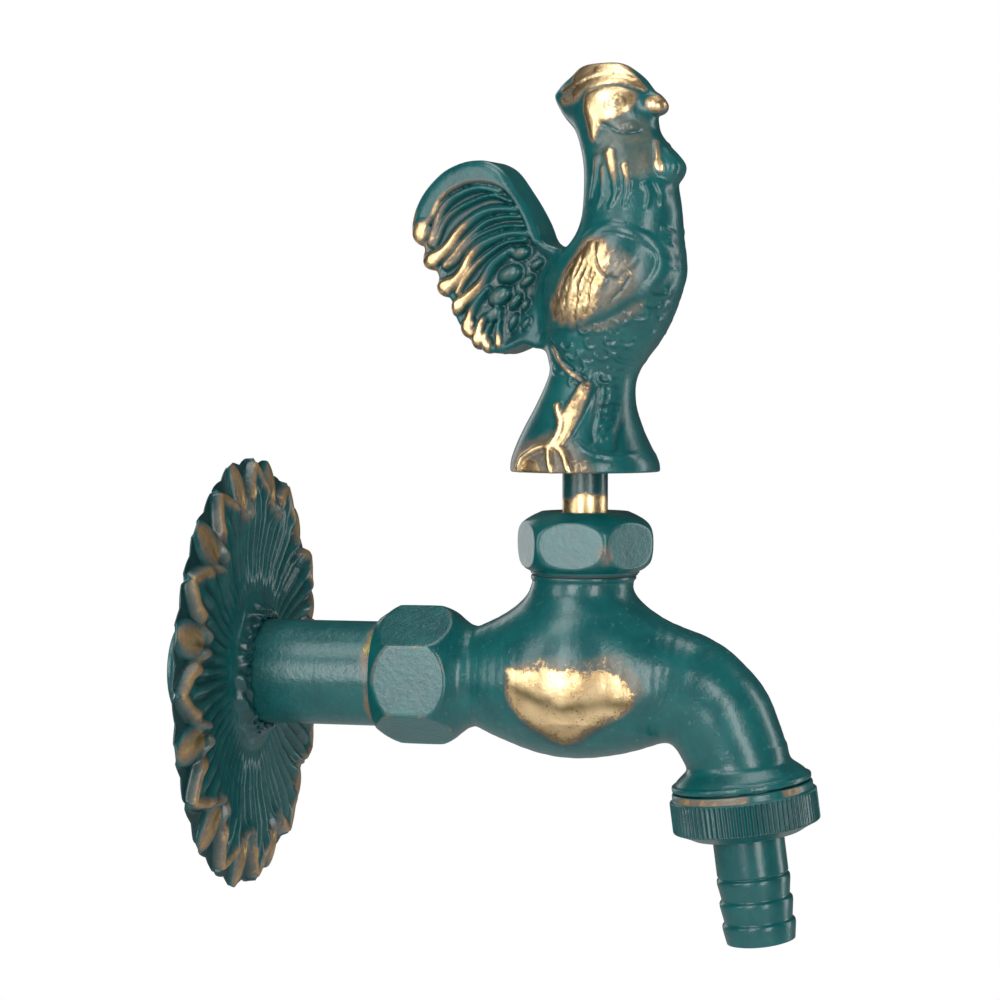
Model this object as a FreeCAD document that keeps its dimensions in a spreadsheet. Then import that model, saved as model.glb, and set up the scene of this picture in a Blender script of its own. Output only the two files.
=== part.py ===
import FreeCAD, Part
import math
import os
import Sketcher

# Garden tap with a cockerel handle, in millimetres.
# +X runs along the inlet pipe away from the wall, +Z is up, and the origin lies
# on the pipe's axis in the plane of the wall.

V = FreeCAD.Vector
doc = FreeCAD.newDocument("GardenTap")

# Driving dimensions: alias, value, meaning
DIMENSIONS = [
    ("face_gap", 0.05, "gap between flat faces of pieces that move apart"),
    ("running_gap", 0.06, "radial gap of a turning or sliding fit"),
    ("lap", 0.4, "how far one feature reaches into or past the next"),
    ("blank_room", 4.0, "room outside a nut's blank for the cut of its flats"),
    ("thread_gap", 0.04, "radial gap at a screwed joint drawn as plain cylinders"),

    ("pipe_r", 10.65, "outer radius of the half inch pipe"),
    ("pipe_bore_r", 8.0, "bore radius of the pipe"),
    ("pipe_thread_r", 10.48, "radius over the pipe's male thread"),
    ("pipe_thread_len", 13.0, "length of the thread behind the wall"),
    ("pipe_reach", 31.1, "pipe length from the wall to the hexagon"),
    ("pipe_socket_depth", 11.5, "depth of the pipe inside the hexagon"),
    ("pipe_end_r", 10.2, "radius of the pipe's thread inside the hexagon"),

    ("inlet_hex_af", 25.2, "inlet hexagon across flats"),
    ("inlet_hex_r", 14.2, "radius of the turned barrel of the inlet hexagon"),
    ("inlet_hex_len", 14.2, "length of the inlet hexagon"),
    ("inlet_hex_front_r", 11.7, "end face radius of the inlet hexagon"),
    ("inlet_hex_bevel", 4.2, "length of the bevel at the wall side"),
    ("inlet_neck_r", 10.3, "neck radius behind the inlet hexagon"),
    ("inlet_neck_bevel", 5.2, "length of the cone from hexagon to neck"),
    ("bulb_r", 16.35, "largest radius of the bulb"),
    ("bonnet_x", 74.0, "distance from the wall to the spindle axis"),

    ("neck_r", 10.4, "radius of the upright neck"),
    ("neck_lip_r", 11.1, "radius of the lip on top of the neck"),
    ("neck_lip_len", 2.2, "height of the lip"),
    ("neck_top", 21.5, "height of the neck above the pipe axis"),
    ("shoulder_r", 16.1, "radius of the shoulder over the bulb"),
    ("collar_r", 13.2, "radius where the shoulder turns into the neck"),
    ("collar_height", 12.8, "height where the shoulder turns into the neck"),
    ("neck_foot", 18.0, "height where the neck's upright part starts"),
    ("neck_thread_r", 8.3, "thread radius in the neck"),
    ("neck_thread_len", 7.0, "depth of the thread in the neck"),
    ("thread_relief", 0.5, "thread left free under the bonnet's end"),
    ("chamber_r", 9.0, "radius of the valve chamber"),
    ("chamber_floor", 3.0, "height of the chamber floor"),
    ("seat_top", 4.5, "height of the valve seat"),
    ("seat_r", 6.4, "outer radius of the valve seat"),
    ("orifice_r", 5.0, "radius of the hole in the seat"),
    ("feed_r", 5.4, "radius of the slanted feed passage"),
    ("feed_start", 46.0, "distance from the wall to the feed passage's start"),
    ("feed_tilt", 14.0, "downward slope of the feed passage, in degrees"),
    ("well_floor", 4.0, "depth of the well under the feed passage's end"),
    ("inlet_bore_r", 7.6, "radius of the water way between pipe and feed passage"),
    ("inlet_bore_end", 48.0, "distance from the wall to the end of the inlet bore"),
    ("port_offset", 7.5, "distance from the spindle axis to the spout port"),
    ("port_height", 10.3, "height of the spout port over the pipe axis"),
    ("port_r", 4.9, "radius of the spout port"),
    ("port_tilt", 30.0, "downward slope of the spout port, in degrees"),

    ("outlet_x", 106.2, "distance from the wall to the outlet face centre"),
    ("outlet_z", -20.25, "height of the outlet flange face centre"),
    ("outlet_tilt", 7.4, "tilt of the outlet from upright, in degrees"),
    ("spout_end_r", 10.5, "spout radius at the flange"),
    ("flange_r", 14.2, "radius of the outlet flange"),
    ("flange_len", 1.3, "height of the flange rim"),
    ("flange_flare", 3.8, "height of the flare above the rim"),
    ("flange_step", 0.8, "width of the flat on top of the rim"),
    ("outlet_thread_r", 13.2, "radius over the outlet thread"),
    ("outlet_thread_len", 5.8, "length of the outlet thread"),
    ("outlet_bore_r", 8.6, "bore radius at the outlet"),

    ("bonnet_af", 25.0, "bonnet hexagon across flats"),
    ("bonnet_r", 13.95, "radius of the turned barrel of the bonnet"),
    ("bonnet_len", 12.2, "height of the bonnet hexagon"),
    ("bonnet_top_r", 9.6, "radius of the bonnet's flat top"),
    ("bonnet_dome", 3.2, "height of the bonnet's domed top"),
    ("bonnet_foot_r", 11.4, "radius of the bonnet's lower face"),
    ("bonnet_foot", 2.6, "height of the bonnet's lower bevel"),
    ("bonnet_clock", -3.0, "turn of the bonnet about its axis, in degrees"),
    ("bonnet_washer_len", 0.7, "thickness of the bonnet washer"),
    ("bonnet_washer_inset", 0.3, "inset of the bonnet washer under the neck's lip"),

    ("stem_r", 4.65, "radius of the spindle stem"),
    ("spindle_thread_r", 6.0, "radius over the spindle thread"),
    ("spindle_thread_len", 9.6, "length of the threaded stretch"),
    ("stem_gap", 8.1, "bare stem between bonnet and handle"),
    ("tang_af", 6.6, "square tang across flats"),
    ("tang_len", 12.0, "height of the square tang"),
    ("valve_travel", 5.0, "lift of the valve"),
    ("lift_gap", 0.3, "room left over the spindle thread at full lift"),
    ("ring_section", 1.5, "height and width of a seal ring's pressed section"),
    ("ring_fit", 0.02, "gap between a seal ring and its groove or bore"),
    ("ring_pitch", 2.6, "distance between the two seal rings"),
    ("ring_drop", 1.2, "cover of the upper seal ring at full lift"),

    ("plate_r", 6.6, "radius of the valve plate"),
    ("plate_len", 2.0, "thickness of the valve plate"),
    ("jumper_stem_r", 2.5, "radius of the jumper's stem"),
    ("jumper_stem_len", 7.0, "length of the jumper's stem"),
    ("stud_r", 1.9, "radius of the jumper's stud"),
    ("stud_stand", 0.4, "stud left under the washer nut"),
    ("tap_washer_len", 3.0, "thickness of the tap washer"),
    ("washer_inset", 0.1, "inset of the tap washer under its plate"),
    ("washer_nut_af", 7.0, "washer nut across flats"),
    ("washer_nut_len", 2.4, "height of the washer nut"),

    ("union_r", 14.3, "radius of the union nut's smooth rings"),
    ("union_knurl_r", 14.95, "radius over the knurled band"),
    ("union_top_ring", 1.6, "height of the smooth ring above the knurl"),
    ("union_knurl_len", 6.6, "height of the knurled band"),
    ("union_foot_r", 10.4, "radius of the nut's lower face"),
    ("union_foot", 1.7, "height of the nut's rounded foot"),
    ("union_hole_gap", 0.25, "room for the barbs in the nut's hole"),
    ("union_shoulder", 1.5, "thickness of the nut's inner shoulder"),
    ("knurl_count", 60, "number of ribs in the knurl"),
    ("knurl_depth", 0.45, "depth of the knurl"),

    ("hose_washer_len", 1.5, "thickness of the hose washer"),
    ("hose_washer_hole", 1.2, "room round the tail's bore in the hose washer"),
    ("hose_washer_inset", 0.6, "inset of the hose washer under the thread's end"),
    ("tail_flange_r", 12.6, "radius of the hose tail's collar"),
    ("tail_flange_len", 1.5, "thickness of the hose tail's collar"),
    ("tail_neck_r", 7.25, "radius of the smooth part of the hose tail"),
    ("tail_neck_len", 8.1, "visible length of the smooth part"),
    ("barb_r", 7.45, "radius over the barbs"),
    ("barb_root_r", 6.95, "radius at the foot of a barb"),
    ("barb_land", 0.8, "height of the cylindrical land on a barb"),
    ("barb_len", 4.6, "pitch of the barbs"),
    ("barb_count", 3, "number of barbs"),
    ("tail_nose_r", 6.2, "radius of the hose tail's end"),
    ("tail_bore_r", 5.2, "bore radius of the hose tail"),

    ("rosette_r", 45.5, "outer radius of the rosette"),
    ("rosette_wall", 2.0, "thickness of the rosette"),
    ("rosette_rim", 1.5, "height of the rosette's upright rim"),
    ("rosette_crest_r", 42.6, "radius of the petal tips"),
    ("rosette_crest", 4.6, "height of the petals' raised edges over the wall"),
    ("rosette_notch_r", 34.0, "radius where two petals meet"),
    ("rosette_floor", 3.2, "height of the dish inside the petal edges"),
    ("rosette_dish_r", 17.0, "inner radius of the dish"),
    ("rosette_collar_r", 14.8, "radius of the collar round the pipe"),
    ("rosette_collar", 8.0, "height of the collar"),
    ("petal_count", 12, "number of petals in each ring"),
    ("petal_fork", 0.6, "half width over the cut end of a petal's arm"),
    ("petal_sink", 1.0, "how deep a petal's edge sits in the dish"),
    ("lower_half", 1.9, "half width of a lower petal"),
    ("lower_nose", 3.2, "from the rim to a lower petal's widest place"),
    ("lower_heel", 4.6, "from the petals' notch to a lower petal's inner point"),
    ("lower_inset", 0.2, "from the rim to a lower petal's outer point"),
    ("lower_sink", 0.7, "how deep a lower petal sits in the dish"),
    ("lower_stand", 1.3, "how far a lower petal stands over its seat"),
    ("flute_half", 0.9, "half width of a petal's flute"),
    ("flute_depth", 0.7, "depth of a petal's flute"),
    ("flute_start", 2.0, "from the collar's foot to the start of a flute"),
    ("petal_ridge", 1.5, "width of the raised petal edge"),

    ("handle_base_r", 15.35, "radius of the handle's round base"),
    ("handle_rim", 2.2, "height of the base's upright rim"),
    ("handle_bell_r", 12.4, "radius of the base where its slope changes"),
    ("handle_bell", 9.6, "height where the base's slope changes"),
    ("handle_waist_r", 8.8, "radius of the waist over the base"),
    ("handle_flare", 20.0, "height of the flare"),
    ("handle_yaw", -18.0, "turn of the cockerel about the spindle, in degrees"),
    ("tail_plate", 9.0, "thickness of the cockerel's tail"),
    ("feather_depth", 0.8, "depth of the grooves between tail feathers"),
    ("wing_stand", 1.2, "height of the wings over the body's sides"),
    ("comb_plate", 6.0, "thickness of the comb"),
    ("wattle_plate", 8.0, "thickness over both wattles"),
    ("drawing_unit", 1.0, "one step of the drawn outlines of tail, comb, wings and wattles"),
    ("beak_r", 3.0, "radius of the beak's root"),
    ("beak_len", 6.0, "length of the beak"),
    ("beak_root", 2.5, "how deep the beak sits in the face"),
    ("beak_drop", 0.2, "how far the beak lies under the cheek section"),
    ("screw_r", 2.0, "radius of the grub screw"),
    ("screw_len", 5.0, "length of the grub screw"),
    ("screw_height", 5.0, "height of the grub screw over the base's foot"),
]

# Level sections of the cockerel from its legs to its crown, in millimetres:
# name, height over the base, middle along the beak's way, half length, half width
COCKEREL = [
    ("leg", 18.0, 1.0, 8.7, 8.2),
    ("thigh", 25.0, 3.2, 11.0, 9.2),
    ("belly", 31.0, 5.5, 14.2, 10.8),
    ("breast", 38.5, 7.0, 15.6, 11.6),
    ("shoulder", 46.0, 8.6, 13.6, 10.6),
    ("crop", 53.5, 10.4, 10.8, 9.0),
    ("hackle", 61.0, 9.6, 9.8, 8.2),
    ("throat", 67.0, 8.0, 8.8, 7.4),
    ("cheek", 73.0, 6.2, 9.6, 7.4),
    ("brow", 78.0, 4.6, 8.6, 5.4),
    ("crown", 81.6, 4.2, 4.6, 2.2),
]
for name, height, middle, half_long, half_wide in COCKEREL:
    DIMENSIONS.append((name + "_height", height, "height of the %s section" % name))
    DIMENSIONS.append((name + "_middle", middle, "middle of the %s section" % name))
    DIMENSIONS.append((name + "_long", half_long, "half length of the %s section" % name))
    DIMENSIONS.append((name + "_wide", half_wide, "half width of the %s section" % name))

# Outline of the tail plate from the back, over the top and down to the rump:
# along the beak's way, height over the base, bulge radius of the arc that starts there
TAIL_OUTLINE = [
    (-1.0, 45.0, None),
    (-4.0, 46.3, 40.0),
    (-13.5, 58.4, 12.0),
    (-23.7, 64.2, 14.0),
    (-36.2, 60.0, 11.0),
    (-41.2, 50.6, 3.6),
    (-38.4, 46.4, 3.6),
    (-34.9, 40.6, 4.2),
    (-31.2, 34.6, 6.0),
    (-26.4, 27.8, 8.0),
    (-18.6, 24.2, -40.0),
    (-6.0, 25.6, None),
    (0.0, 30.0, None),
]

# Grooves that part the tail feathers: start, end, bulge radius and width
TAIL_GROOVES = [
    ((-7.4, 49.4), (-30.6, 59.6), -16.0, 0.9),
    ((-10.6, 41.6), (-35.4, 49.0), -17.0, 0.9),
    ((-12.4, 33.8), (-29.4, 38.0), -16.0, 0.9),
]

# Outlines of comb, wings and wattles, in the same columns as the tail's
COMB_OUTLINE = [
    (8.0, 70.0, None),
    (14.8, 76.4, 5.0),
    (12.4, 80.0, 6.0),
    (6.2, 82.4, 8.0),
    (-1.0, 81.4, 7.0),
    (-6.0, 78.8, None),
    (-6.8, 75.6, None),
    (-3.0, 72.0, None),
]
WING_OUTLINE = [
    (15.5, 47.5, 4.5),
    (9.5, 50.5, 40.0),
    (-7.0, 33.0, None),
    (-4.0, 31.0, 30.0),
    (8.0, 33.0, 18.0),
]
WATTLE_OUTLINE = [
    (13.5, 67.0, 4.0),
    (17.6, 66.0, 9.0),
    (22.4, 60.0, 3.4),
    (20.5, 56.6, 8.0),
    (14.0, 58.0, None),
]

sheet = doc.addObject("Spreadsheet::Sheet", "Sizes")
for row, (alias, value, meaning) in enumerate(DIMENSIONS, start=1):
    sheet.set("A%d" % row, alias)
    sheet.set("B%d" % row, str(value))
    sheet.set("C%d" % row, meaning)
    sheet.setAlias("B%d" % row, alias)
doc.recompute()


class Size:
    """A number together with the expression over the sheet that gives it."""

    def __init__(self, value, text):
        self.value = float(value)
        self.text = text

    def __add__(self, other):
        other = as_size(other)
        return Size(self.value + other.value, "(%s + %s)" % (self.text, other.text))

    def __sub__(self, other):
        other = as_size(other)
        return Size(self.value - other.value, "(%s - %s)" % (self.text, other.text))

    def __mul__(self, other):
        other = as_size(other)
        return Size(self.value * other.value, "(%s * %s)" % (self.text, other.text))

    def __rsub__(self, other):
        return as_size(other) - self

    def __neg__(self):
        return Size(-self.value, "(0 - %s)" % self.text)

    __radd__ = __add__
    __rmul__ = __mul__


def as_size(number):
    return number if isinstance(number, Size) else Size(number, repr(float(number)))


def size(alias):
    return Size(sheet.get(alias), "Sizes." + alias)


def cosine(angle):
    return Size(math.cos(math.radians(angle.value)), "cos(%s * 1deg)" % angle.text)


def sine(angle):
    return Size(math.sin(math.radians(angle.value)), "sin(%s * 1deg)" % angle.text)


def tangent(angle):
    return Size(math.tan(math.radians(angle.value)), "tan(%s * 1deg)" % angle.text)


def secant(angle):
    return Size(1 / math.cos(math.radians(angle.value)), "(1 / cos(%s * 1deg))" % angle.text)


def half_pitch(count):
    """Half of the angle between copies of a pattern, in degrees."""
    return Size(180 / count.value, "(180 / %s)" % count.text)


def bind(owner, place, value):
    """Tie a property or a constraint to the sheet."""
    owner.setExpression(place, as_size(value).text)


def new_body(label):
    body = doc.addObject("PartDesign::Body", label)
    body.Label = label
    return body


def new_sketch(body, name, role):
    """A sketch on one of the body's own origin planes."""
    sketch = body.newObject("Sketcher::SketchObject", name)
    plane = next(item for item in body.Origin.OriginFeatures if item.Role == role)
    sketch.AttachmentSupport = (plane, [""])
    sketch.MapMode = "FlatFace"
    return sketch


def shift_sketch(sketch, along=(0, 0, 0), axis=None, angle=0):
    """Move a sketch in its plane's own directions and turn it about one of them."""
    turn = FreeCAD.Rotation(V(*axis), as_size(angle).value) if axis else FreeCAD.Rotation()
    place = V(*[as_size(value).value for value in along])
    sketch.AttachmentOffset = FreeCAD.Placement(place, turn)
    for letter, value in zip("xyz", along):
        bind(sketch, "AttachmentOffset.Base." + letter, value)
    if axis:
        bind(sketch, "AttachmentOffset.Rotation.Angle", angle)


def constrain(sketch, kind, *where, value):
    value = as_size(value)
    index = sketch.addConstraint(Sketcher.Constraint(kind, *where, value.value))
    bind(sketch, "Constraints[%d]" % index, value)


def pin_point(sketch, geometry, end, point):
    """Fix one point of the sketch by its two coordinates."""
    constrain(sketch, "DistanceX", -1, 1, geometry, end, value=point[0])
    constrain(sketch, "DistanceY", -1, 1, geometry, end, value=point[1])


def arc_between(start, end, radius):
    """Arc from start to end; a positive radius bulges to the right of the way."""
    chord = end - start
    half = chord.Length / 2
    rise = abs(radius) - math.sqrt(max(radius * radius - half * half, 0.0))
    side = V(chord.y, -chord.x, 0).normalize()
    middle = (start + end) * 0.5 + side * math.copysign(rise, radius)
    return Part.Arc(start, middle, end)


def draw_outline(sketch, points, arcs=None):
    """Closed chain of lines and arcs whose corners are tied to the sheet.

    arcs maps the number of a corner to the radius of the arc that starts there.
    """
    arcs = arcs or {}
    corners = [V(as_size(a).value, as_size(b).value, 0) for a, b in points]
    pieces = []
    for number, start in enumerate(corners):
        end = corners[(number + 1) % len(corners)]
        if number in arcs:
            pieces.append(arc_between(start, end, as_size(arcs[number]).value))
        else:
            pieces.append(Part.LineSegment(start, end))
    names = sketch.addGeometry(pieces, False)
    ends = []
    for number, piece in enumerate(names):
        forward = sketch.getPoint(piece, 1).distanceToPoint(corners[number]) < 1e-6
        ends.append((piece, 1, 2) if forward else (piece, 2, 1))

    ties, drivers = [], []
    for number, (piece, first, last) in enumerate(ends):
        following, start, _ = ends[(number + 1) % len(ends)]
        ties.append(Sketcher.Constraint("Coincident", piece, last, following, start))
        drivers.append(None)
        for kind, value in zip(("DistanceX", "DistanceY"), points[number]):
            ties.append(Sketcher.Constraint(kind, -1, 1, piece, first, as_size(value).value))
            drivers.append(value)
        if number in arcs:
            radius = as_size(arcs[number])
            radius = radius if radius.value > 0 else -radius
            ties.append(Sketcher.Constraint("Radius", piece, radius.value))
            drivers.append(radius)
    for index, value in zip(sketch.addConstraint(ties), drivers):
        if value is not None:
            bind(sketch, "Constraints[%d]" % index, value)


def draw_rows(sketch, rows):
    """Outline from a table of along, up and bulge radius, each in drawing units."""
    unit = size("drawing_unit")
    points = [(unit * along, unit * up) for along, up, _ in rows]
    draw_outline(sketch, points, {n: unit * row[2] for n, row in enumerate(rows) if row[2]})


def draw_circle(sketch, centre, radius):
    middle = V(as_size(centre[0]).value, as_size(centre[1]).value, 0)
    ring = sketch.addGeometry(Part.Circle(middle, V(0, 0, 1), as_size(radius).value), False)
    constrain(sketch, "Radius", ring, value=radius)
    pin_point(sketch, ring, 3, centre)


def draw_oval(sketch, centre, half_long, half_wide, sides):
    """Oval with many short flats, which keeps a doubly curved skin light."""
    swell = 1 / math.sqrt(math.cos(math.pi / sides))
    points = []
    for number in range(sides):
        turn = 2 * math.pi * (number + 0.5) / sides
        points.append((centre[0] + half_long * round(swell * math.cos(turn), 6),
                       centre[1] + half_wide * round(swell * math.sin(turn), 6)))
    draw_outline(sketch, points)


def draw_hexagon(sketch, across_flats, corner_up):
    """Hexagon round the sketch's origin, with a corner on its vertical or horizontal axis."""
    reach = across_flats * (1 / math.sqrt(3))
    turns = [90 + 60 * k for k in range(6)] if corner_up else [60 * k for k in range(6)]
    points = []
    for turn in turns:
        points.append((reach * round(math.cos(math.radians(turn)), 9),
                       reach * round(math.sin(math.radians(turn)), 9)))
    draw_outline(sketch, points)


def add_axis(sketch, start, end):
    """Construction line that a revolved feature turns about, named Axis0."""
    first = V(as_size(start[0]).value, as_size(start[1]).value, 0)
    last = V(as_size(end[0]).value, as_size(end[1]).value, 0)
    line = sketch.addGeometry(Part.LineSegment(first, last), True)
    pin_point(sketch, line, 1, start)
    pin_point(sketch, line, 2, end)


def revolve(body, name, sketch, axis="V_Axis", cut=False):
    feature = body.newObject("PartDesign::Groove" if cut else "PartDesign::Revolution", name)
    feature.Profile = sketch
    feature.ReferenceAxis = (sketch, [axis])
    feature.Angle = 360
    return feature


def pad(body, name, sketch, length, both_sides=False, backwards=False):
    feature = body.newObject("PartDesign::Pad", name)
    feature.Profile = sketch
    bind(feature, "Length", length)
    feature.Midplane = both_sides
    feature.Reversed = backwards
    return feature


def pocket(body, name, sketch, length, forwards=False, both_sides=False):
    """Cut against the sketch's normal, or along it when forwards is set."""
    feature = body.newObject("PartDesign::Pocket", name)
    feature.Profile = sketch
    bind(feature, "Length", length)
    feature.Midplane = both_sides
    feature.Reversed = forwards
    return feature


def loft(body, name, sketches, cut=False, ruled=False):
    feature = body.newObject("PartDesign::SubtractiveLoft" if cut else "PartDesign::AdditiveLoft", name)
    feature.Profile = sketches[0]
    feature.Sections = sketches[1:]
    feature.Ruled = ruled
    return feature


def polar_pattern(body, name, features, sketch, axis, count):
    feature = body.newObject("PartDesign::PolarPattern", name)
    feature.Originals = features
    feature.Axis = (sketch, [axis])
    feature.Angle = 360
    bind(feature, "Occurrences", count)
    body.Tip = feature
    return feature


def place(body, x=0, z=0, axis=None, angle=0):
    """Put a body at its height and distance from the wall, turned about one axis."""
    turn = FreeCAD.Rotation(V(*axis), as_size(angle).value) if axis else FreeCAD.Rotation()
    body.Placement = FreeCAD.Placement(V(as_size(x).value, 0, as_size(z).value), turn)
    bind(body, "Placement.Base.x", x)
    bind(body, "Placement.Base.z", z)
    if axis:
        bind(body, "Placement.Rotation.Angle", angle)


# Heights and places that follow from the driving dimensions
hex_end = size("pipe_reach") + size("inlet_hex_len")
neck_start = hex_end + size("inlet_neck_bevel")
bonnet_base = size("neck_top") + size("bonnet_washer_len")
bonnet_top = bonnet_base + size("bonnet_len")
washer_base = size("seat_top") + size("face_gap")
plate_base = washer_base + size("tap_washer_len")
spindle_base = plate_base + size("plate_len") + size("face_gap")
handle_base = bonnet_top + size("stem_gap")
stem_bore_r = size("stem_r") + size("running_gap")
hose_washer_top = size("outlet_thread_len") + size("face_gap")
tail_top = hose_washer_top + size("hose_washer_len") + size("face_gap")
union_shoulder_top = tail_top + size("tail_flange_len") + size("face_gap")
union_base = union_shoulder_top + size("union_shoulder")
outlet_place = {"x": size("outlet_x"), "z": size("outlet_z"),
                "axis": (0, 1, 0), "angle": -size("outlet_tilt")}

# Stations of the spout between bulb and flange, each a share of the whole way:
# along the span, down the drop, of the taper left, of the turn, of the bore
SPOUT_STATIONS = [
    (0.149, 0.000, 0.855, 0.050, None),
    (0.450, 0.057, 0.530, 0.229, 0.72),
    (0.694, 0.138, 0.180, 0.412, 0.86),
    (0.846, 0.326, 0.100, 0.626, 0.93),
    (0.927, 0.558, 0.000, 0.860, 0.96),
]
# Flats round a doubly curved skin and round a cored passage
SKIN_SIDES = 20
BORE_SIDES = 10
COCKEREL_SIDES = 16
# Turn of a petal's arms in half pitches, and its tip's width over an arm's
PETAL_LEAN = 0.93
TIP_SHARE = 1.2
# Flutes of one petal: turn in half pitches, reach from notch to crest
FLUTES = [(-0.6, 0.09), (0.0, 0.45), (0.6, 0.09)]
# How far a tail groove's outer end leans over, as a share of its width
GROOVE_LEAN = 0.3

# Stations of the inlet side: share of the way from neck to bulb, share of the swelling
INLET_STATIONS = [(0.0, 0.0), (0.2, 0.22), (0.48, 0.69), (0.85, 1.0)]


def round_section(body, name, x, z, tilt, radius, sides=None):
    """Round section square to a way that slopes down by tilt degrees."""
    sketch = new_sketch(body, name, "YZ_Plane")
    shift_sketch(sketch, (0, z, x), (1, 0, 0), tilt)
    if sides:
        draw_oval(sketch, (as_size(0), as_size(0)), as_size(radius), as_size(radius), sides)
    else:
        draw_circle(sketch, (0, 0), radius)
    return sketch


def outlet_sketch(body, name):
    """Sketch through the tilted outlet axis, which is its own vertical axis."""
    sketch = new_sketch(body, name, "XZ_Plane")
    shift_sketch(sketch, (size("outlet_x"), size("outlet_z"), 0), (0, 0, 1), size("outlet_tilt"))
    return sketch


def spout_station(share):
    """Place, slope and radius of the spout at one row of SPOUT_STATIONS."""
    along, down, taper, turn, _ = share
    x = size("bonnet_x") + (size("outlet_x") - size("bonnet_x")) * along
    z = size("outlet_z") * down
    radius = size("spout_end_r") + (size("bulb_r") - size("spout_end_r")) * taper
    tilt = (as_size(90) - size("outlet_tilt")) * turn
    return x, z, tilt, radius


def spout_end():
    """Place and slope of the spout where the flange's flare starts."""
    rise = size("flange_len") + size("flange_flare")
    x = size("outlet_x") - rise * sine(size("outlet_tilt"))
    z = size("outlet_z") + rise * cosine(size("outlet_tilt"))
    return x, z, as_size(90) - size("outlet_tilt")


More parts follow.
